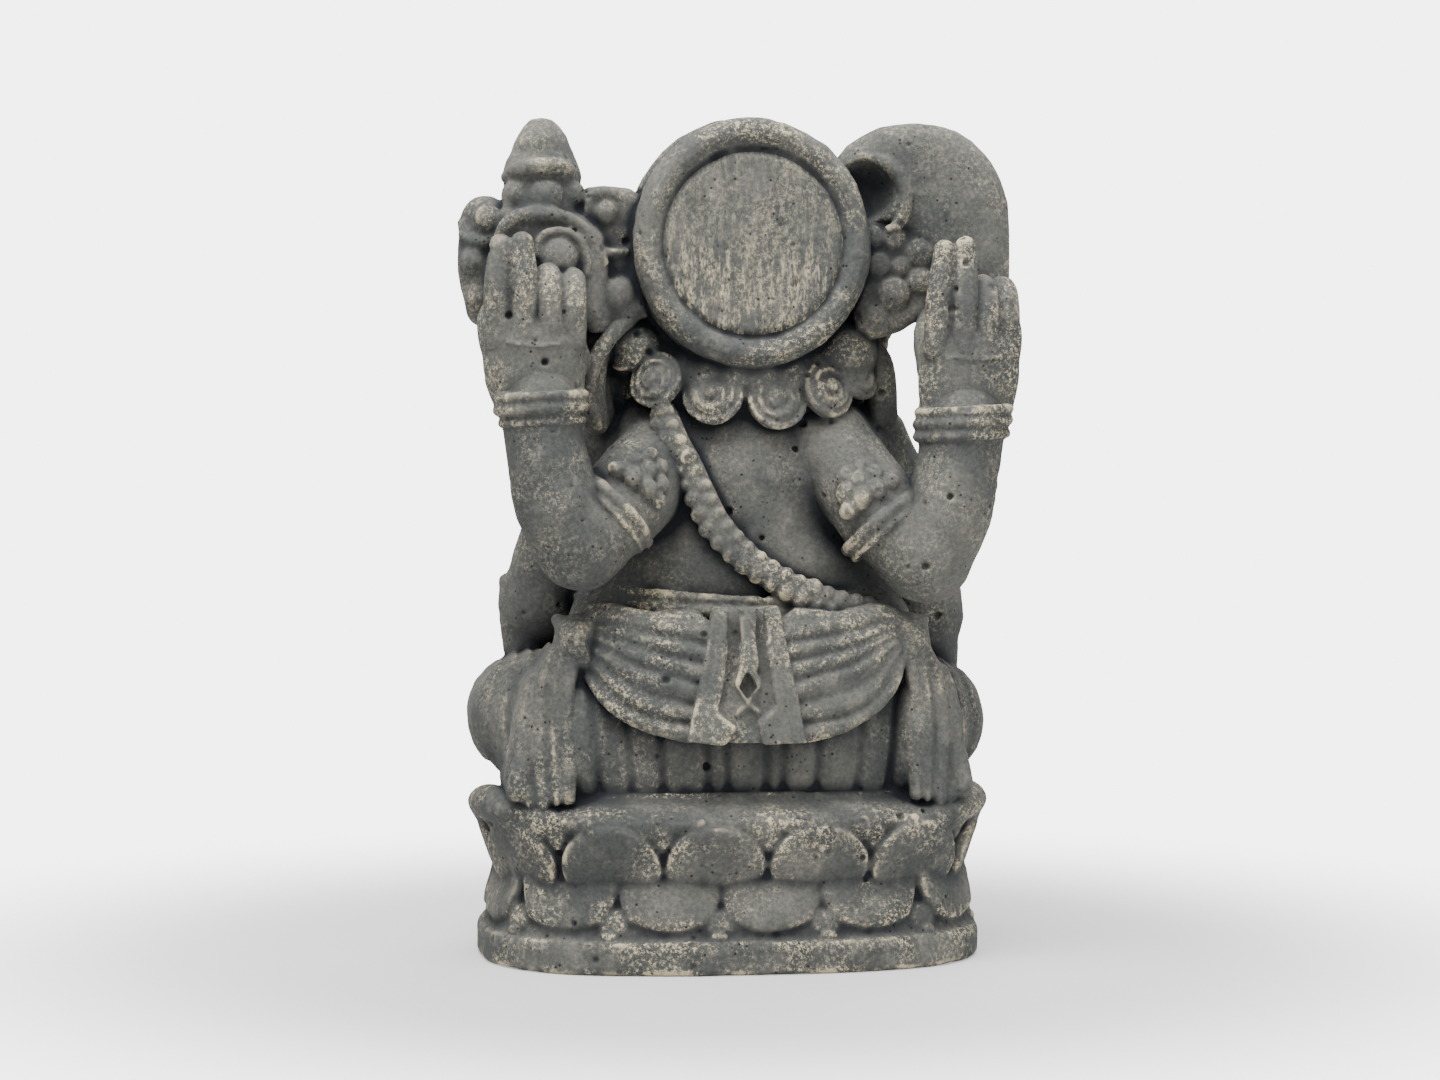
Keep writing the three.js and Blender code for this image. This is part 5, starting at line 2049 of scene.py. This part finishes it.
def carve_collar():
    """A drooping band with scroll lobes, six behind and five over the chest."""
    band = []
    for i in range(40):
        a = 2 * math.pi * i / 40
        behind = math.cos(a)
        y = 42 * behind if behind > 0 else 38 * behind
        band.append((MID + 50 * math.sin(a), y, 275 - 3 * abs(behind)))
    edges = [(i, (i + 1) % 40) for i in range(40)]
    ring_form = grown("rib", band, edges, {"girth": [12.5] * 40}, Sides=12)
    lobes, coils, lips, eyes = [], [], [], []
    back = [
        (37.0, 266.5, 45.0, 12.6, 1), (12.0, 260.0, 50.5, 13.6, -1), (-16.0, 258.0, 51.0, 13.8, 1),
        (-39.5, 262.6, 46.0, 13.0, -1), (-55.0, 269.5, 36.0, 11.4, 1), (50.0, 280.0, 37.0, 9.4, -1),
    ]
    front = [
        (MID + 27 * k, 258 - 5 * math.cos(k * 0.7), -44 * math.cos(k * 0.55), 11.5, 1 if k % 2 else -1)
        for k in (-2, -1, 0, 1, 2)
    ]
    for x, z, y, size, hand in back + front:
        out = Vector(((x - MID) / 70.0, math.copysign(0.85, y), -0.02)).normalized()
        tilt = (out + Vector((0, 0, 0.34))).normalized()
        p = Vector((x, y, z))
        lobes.append((tuple(p), tuple(tilt), size))
        lips.append((tuple(p + tilt * size * 0.22), tuple(tilt), size * 0.93, size * 0.13))
        lips.append((tuple(p + tilt * size * 0.36), tuple(tilt), size * 0.66, size * 0.12))
        coils.append(
            (tuple(p + tilt * size * 0.42 + Vector((0, 0, -1.0))), tuple(tilt), size * 0.62, 0.9 * hand)
        )
        eyes.append((tuple(p + tilt * size * 0.42), tuple(tilt), size * 0.3))
    discs = beads(lobes, 0.4, 1.0, 1.0, 0.03, 29)
    scrolls = row(
        "scroll", coils, Turns=1.1, Thickness=0.26, **{"Inner radius": 0.3, "Outer radius": 0.9},
        Variation=0.05, Seed=31,
    )
    pips = beads(eyes, 0.7, 1.0, 1.0, 0.1, 37)

    def fluting(x, y, z):
        around = np.arctan2(x - MID, np.abs(y) + 10)
        return 1.3 * np.cos(around * 15 + 0.06 * (z - 270)) ** 2 - 0.6

    yoke = pressed(egg((MID, 8, 267), (60, 50, 27)), fluting)
    corners = [egg((MID + 50, 20, 283), (18, 26, 17)), egg((MID - 46, 22, 280), (18, 26, 17))]
    collar = merge([merge([ring_form, yoke, *corners], 5.0), discs, hoops(lips), scrolls, pips], 1.0)
    carve("scroll_collar", collar, "worn_relief", blend=1.5)


# ---------------------------------------------------------------- settings


class PedestalSettings(bpy.types.PropertyGroup):
    slab_top: FloatProperty(
        name="Slab top", description="Height of the plain slab", default=0.014, unit="LENGTH"
    )
    waist: FloatProperty(
        name="Waist", description="Height where the two rows of petals meet", default=0.0445, unit="LENGTH"
    )
    lip: FloatProperty(
        name="Lip", description="Height of the upper row's petal tips", default=0.0675, unit="LENGTH"
    )
    seat: FloatProperty(
        name="Seat", description="Height at which the figure sits", default=0.0805, unit="LENGTH"
    )
    petals: IntProperty(
        name="Petals", description="Petals round each row", default=13, min=6, max=40
    )


class CrownSettings(bpy.types.PropertyGroup):
    height: FloatProperty(
        name="Height", description="Height of the disc's middle", default=0.3294, unit="LENGTH"
    )
    back: FloatProperty(
        name="Back", description="How far back the rim stands", default=0.065, unit="LENGTH"
    )
    radius: FloatProperty(
        name="Radius", description="Radius of the rim", default=0.0562, unit="LENGTH"
    )
    panel_radius: FloatProperty(
        name="Panel radius", description="Radius of the sawn panel", default=0.0412, unit="LENGTH"
    )


class DressSettings(bpy.types.PropertyGroup):
    belt: FloatProperty(
        name="Belt", description="Height of the waist belt", default=0.166, unit="LENGTH"
    )


class StoneSettings(bpy.types.PropertyGroup):
    body: FloatVectorProperty(
        name="Stone", description="Colour of the open stone", subtype="COLOR",
        default=(0.083, 0.087, 0.083),
    )
    # the colour of the painted shade laid into sheltered hollows
    hollow: FloatVectorProperty(
        name="Hollows", description="Colour of sheltered hollows", subtype="COLOR",
        default=(0.012, 0.014, 0.018),
    )
    worn: FloatVectorProperty(
        name="Worn edges", description="Colour of rubbed edges and lime specks", subtype="COLOR",
        default=(0.66, 0.57, 0.38),
    )
    seed: IntProperty(name="Seed", description="Seed of all weathering", default=11)
    chips: IntProperty(name="Chips", description="Chips knocked off the edges", default=700)
    pits: IntProperty(name="Pits", description="Pores open at the surface", default=2600)
    largest_pit: FloatProperty(
        name="Largest pit", description="Width of the widest pore", default=0.0042, unit="LENGTH"
    )


SETTINGS = {
    "idol_pedestal": PedestalSettings,
    "idol_crown": CrownSettings,
    "idol_dress": DressSettings,
    "idol_stone": StoneSettings,
}


# ---------------------------------------------------------------- operators


class BlockStep(bpy.types.Operator):
    """A step that lays members into the open block."""

    def execute(self, context):
        if BLOCK is None:
            raise RuntimeError("open a block first")
        self.carve(context.scene)
        return {"FINISHED"}


class IDOL_OT_open_block(bpy.types.Operator):
    """Open a block of stone as large as the CAD model"""

    bl_idname = "idol.open_block"
    bl_label = "Open block"

    def execute(self, context):
        global BLOCK
        BLOCK = Block()
        return {"FINISHED"}


class IDOL_OT_pedestal(BlockStep):
    """Slab and the two rows of lotus petals"""

    bl_idname = "idol.pedestal"
    bl_label = "Pedestal"

    def carve(self, scene):
        carve_pedestal(scene.idol_pedestal)


class IDOL_OT_body(BlockStep):
    """Torso, lap cloth, legs and feet"""

    bl_idname = "idol.body"
    bl_label = "Body and legs"

    def carve(self, scene):
        carve_body()


class IDOL_OT_rear_arms(BlockStep):
    """The raised pair of arms with hands, bracelets and armlets"""

    bl_idname = "idol.rear_arms"
    bl_label = "Rear arms"

    def carve(self, scene):
        for side, label in SIDES:
            carve_rear_arm(side, label)


class IDOL_OT_attributes(BlockStep):
    """Jewelled finial and axe held in the raised hands"""

    bl_idname = "idol.attributes"
    bl_label = "Finial and axe"

    def carve(self, scene):
        carve_finial()
        carve_axe()


class IDOL_OT_front_arms(BlockStep):
    """The lower pair of arms with the bowl of sweets and the broken tusk"""

    bl_idname = "idol.front_arms"
    bl_label = "Front arms"

    def carve(self, scene):
        for side, label in SIDES:
            carve_front_arm(side, label)


class IDOL_OT_headdress(BlockStep):
    """Drum with rim and sawn panel, diadem and ear flowers"""

    bl_idname = "idol.headdress"
    bl_label = "Headdress"

    def carve(self, scene):
        carve_crown(scene.idol_crown)


class IDOL_OT_head(BlockStep):
    """Head, trunk, tusks, ears and locks"""

    bl_idname = "idol.head"
    bl_label = "Head"

    def carve(self, scene):
        carve_head()


class IDOL_OT_dress(BlockStep):
    """Belt, sashes, aprons, sacred thread and collar"""

    bl_idname = "idol.dress"
    bl_label = "Dress and ornaments"

    def carve(self, scene):
        carve_dress(scene.idol_dress)


class IDOL_OT_weather(BlockStep):
    """Merge the members into one stone, then pit and chip it and read the fields for rubbed edges and
    painted shade
    """

    bl_idname = "idol.weather"
    bl_label = "Weather the stone"

    def carve(self, scene):
        BLOCK.settle()
        BLOCK.weather(scene.idol_stone)
        BLOCK.read_wear_and_shade()


class IDOL_OT_part_members(BlockStep):
    """Free every member from the block as a mesh that stands for its CAD node"""

    bl_idname = "idol.part_members"
    bl_label = "Part the members"

    def carve(self, scene):
        pieces = {name: rough_piece(name, *BLOCK.part_member(name)) for name in BLOCK.members}
        for name, mesh in thinned(pieces).items():
            finish_piece(name, pieces[name], mesh, BLOCK.members[name][2])


class IDOL_OT_stage(bpy.types.Operator):
    """Pale floor, soft studio light and camera"""

    bl_idname = "idol.stage"
    bl_label = "Stage"

    def execute(self, context):
        build_stage(context.scene)
        return {"FINISHED"}


def rough_piece(name, points, quads):
    """One member as a closed mesh of voxel quads."""
    mesh = bpy.data.meshes.new(f"{name}_rough")
    mesh.vertices.add(len(points))
    mesh.vertices.foreach_set("co", (points * MM).astype(np.float32).ravel())
    mesh.loops.add(quads.size)
    mesh.loops.foreach_set("vertex_index", quads.astype(np.int32).ravel())
    mesh.polygons.add(len(quads))
    mesh.polygons.foreach_set("loop_start", np.arange(0, quads.size, 4, dtype=np.int32))
    mesh.update(calc_edges=True)
    mesh.validate()
    mesh.polygons.foreach_set("use_smooth", np.ones(len(mesh.polygons), bool))
    piece = bpy.data.objects.new(f"{name}_stone", mesh)
    bpy.context.scene.collection.objects.link(piece)
    return piece


def thinned(pieces):
    """New meshes with fewer triangles where the stone is even, all worked out at once."""
    for piece in pieces.values():
        thin = piece.modifiers.new("thin", "DECIMATE")
        thin.ratio = min(KEPT_SHARE, MOST_TRIANGLES / (2 * len(piece.data.polygons)))
    evaluated = bpy.context.evaluated_depsgraph_get()
    meshes = {
        name: bpy.data.meshes.new_from_object(piece.evaluated_get(evaluated))
        for name, piece in pieces.items()
    }
    for piece in pieces.values():
        piece.modifiers.clear()
    return meshes


def finish_piece(name, piece, mesh, slot):
    """Gives a piece its thinned mesh, the fields for wear and painted shade as point attributes, stone and
    place in the part.
    """
    rough = piece.data
    piece.data = mesh
    bpy.data.meshes.remove(rough)
    mesh.name = piece.name
    points = np.empty(len(mesh.vertices) * 3, np.float32)
    mesh.vertices.foreach_get("co", points)
    for key, values in BLOCK.wear_and_shade_at(points.reshape(-1, 3) / MM).items():
        mesh.attributes.new(key, "FLOAT", "POINT").data.foreach_set("value", values.astype(np.float32))
    mesh.materials.clear()
    mesh.materials.append(stone_material(slot))
    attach(piece, "root")
    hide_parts(name)


def build_stage(scene):
    """A pale floor that fades out away from the object, a wide key above, a fill at one side and a rim
    light behind.
    """
    turn, rise, reach = math.radians(173), math.radians(2), 1.6
    aim = Vector((0.003, 0.0, 0.1927))
    back = Vector((math.sin(turn) * math.cos(rise), -math.cos(turn) * math.cos(rise), math.sin(rise)))
    lens = bpy.data.cameras.new("view")
    lens.lens, lens.sensor_width = 85, 36
    camera = bpy.data.objects.new("view", lens)
    camera.location = aim + back * reach
    camera.rotation_euler = back.to_track_quat("Z", "Y").to_euler()
    scene.collection.objects.link(camera)
    scene.camera = camera

    pale = bpy.data.materials.new("pale_floor")
    pale.use_nodes = True
    tree = pale.node_tree
    shader = tree.nodes["Principled BSDF"]
    shader.inputs["Base Color"].default_value = (0.62, 0.62, 0.62, 1)
    shader.inputs["Roughness"].default_value = 0.9
    shader.inputs["Specular IOR Level"].default_value = 0.1
    shader.inputs["Emission Color"].default_value = (1, 1, 1, 1)
    seen = node(tree, "ShaderNodeLightPath").outputs["Is Camera Ray"]
    tree.links.new(tone(tree, "MULTIPLY", seen, 0.43), shader.inputs["Emission Strength"])
    place = node(tree, "ShaderNodeTexCoord").outputs["Object"]
    away = node(tree, "ShaderNodeVectorMath", {0: place}, operation="LENGTH").outputs["Value"]
    clear = node(tree, "ShaderNodeBsdfTransparent").outputs[0]
    fade = span(tree, away, 0.2, 0.52)
    both = node(tree, "ShaderNodeMixShader", {0: fade, 1: shader.outputs[0], 2: clear}).outputs[0]
    tree.links.new(both, tree.nodes["Material Output"].inputs[0])
    size = 3.0
    mesh = bpy.data.meshes.new("floor")
    mesh.from_pydata(
        [(-size, -size, 0), (size, -size, 0), (size, size, 0), (-size, size, 0)], [], [(0, 1, 2, 3)]
    )
    mesh.materials.append(pale)
    floor = bpy.data.objects.new("floor", mesh)
    scene.collection.objects.link(floor)

    world = scene.world or bpy.data.worlds.new("studio")
    scene.world = world
    world.use_nodes = True
    tree = world.node_tree
    background = tree.nodes["Background"]
    background.inputs["Color"].default_value = (0.93, 0.94, 0.95, 1)
    seen = node(tree, "ShaderNodeLightPath").outputs["Is Camera Ray"]
    tree.links.new(span(tree, seen, 0.0, 1.0, 0.8, 5.5), background.inputs["Strength"])
    side = Vector((math.cos(turn), math.sin(turn), 0))
    front = Vector((back.x, back.y, 0)).normalized()
    for label, spot, size, power in (
        ("key", front * 0.5 + side * -0.25 + Vector((0, 0, 1.45)), 0.9, 34.0),
        ("fill", front * 0.9 + side * 0.9 + Vector((0, 0, 0.5)), 1.0, 4.0),
        ("rim", front * -0.8 + side * 0.3 + Vector((0, 0, 1.2)), 0.8, 12.0),
    ):
        light = bpy.data.lights.new(label, "AREA")
        light.energy, light.size = power, size
        lamp = bpy.data.objects.new(label, light)
        lamp.location = spot
        lamp.rotation_euler = (spot - aim).to_track_quat("Z", "Y").to_euler()
        scene.collection.objects.link(lamp)


STEPS = (
    IDOL_OT_open_block,
    IDOL_OT_pedestal,
    IDOL_OT_body,
    IDOL_OT_rear_arms,
    IDOL_OT_attributes,
    IDOL_OT_front_arms,
    IDOL_OT_headdress,
    IDOL_OT_head,
    IDOL_OT_dress,
    IDOL_OT_weather,
    IDOL_OT_part_members,
    IDOL_OT_stage,
)


class IDOL_PT_steps(bpy.types.Panel):
    """The carving steps in the order they are done"""

    bl_label = "Stone idol"
    bl_idname = "IDOL_PT_steps"
    bl_space_type = "VIEW_3D"
    bl_region_type = "UI"
    bl_category = "Stone idol"

    def draw(self, context):
        for name in SETTINGS:
            box = self.layout.box()
            group = getattr(context.scene, name)
            for prop in group.__annotations__:
                box.prop(group, prop)
        for step in STEPS:
            self.layout.operator(step.bl_idname)


def register():
    for name, group in SETTINGS.items():
        bpy.utils.register_class(group)
        setattr(bpy.types.Scene, name, PointerProperty(type=group))
    for made in (*STEPS, IDOL_PT_steps):
        bpy.utils.register_class(made)


def unregister():
    for made in reversed((*STEPS, IDOL_PT_steps)):
        bpy.utils.unregister_class(made)
    for name, group in SETTINGS.items():
        delattr(bpy.types.Scene, name)
        bpy.utils.unregister_class(group)


def main():
    register()
    for step in STEPS:
        area, name = step.bl_idname.split(".")
        getattr(getattr(bpy.ops, area), name)()


if __name__ == "__main__":
    main()
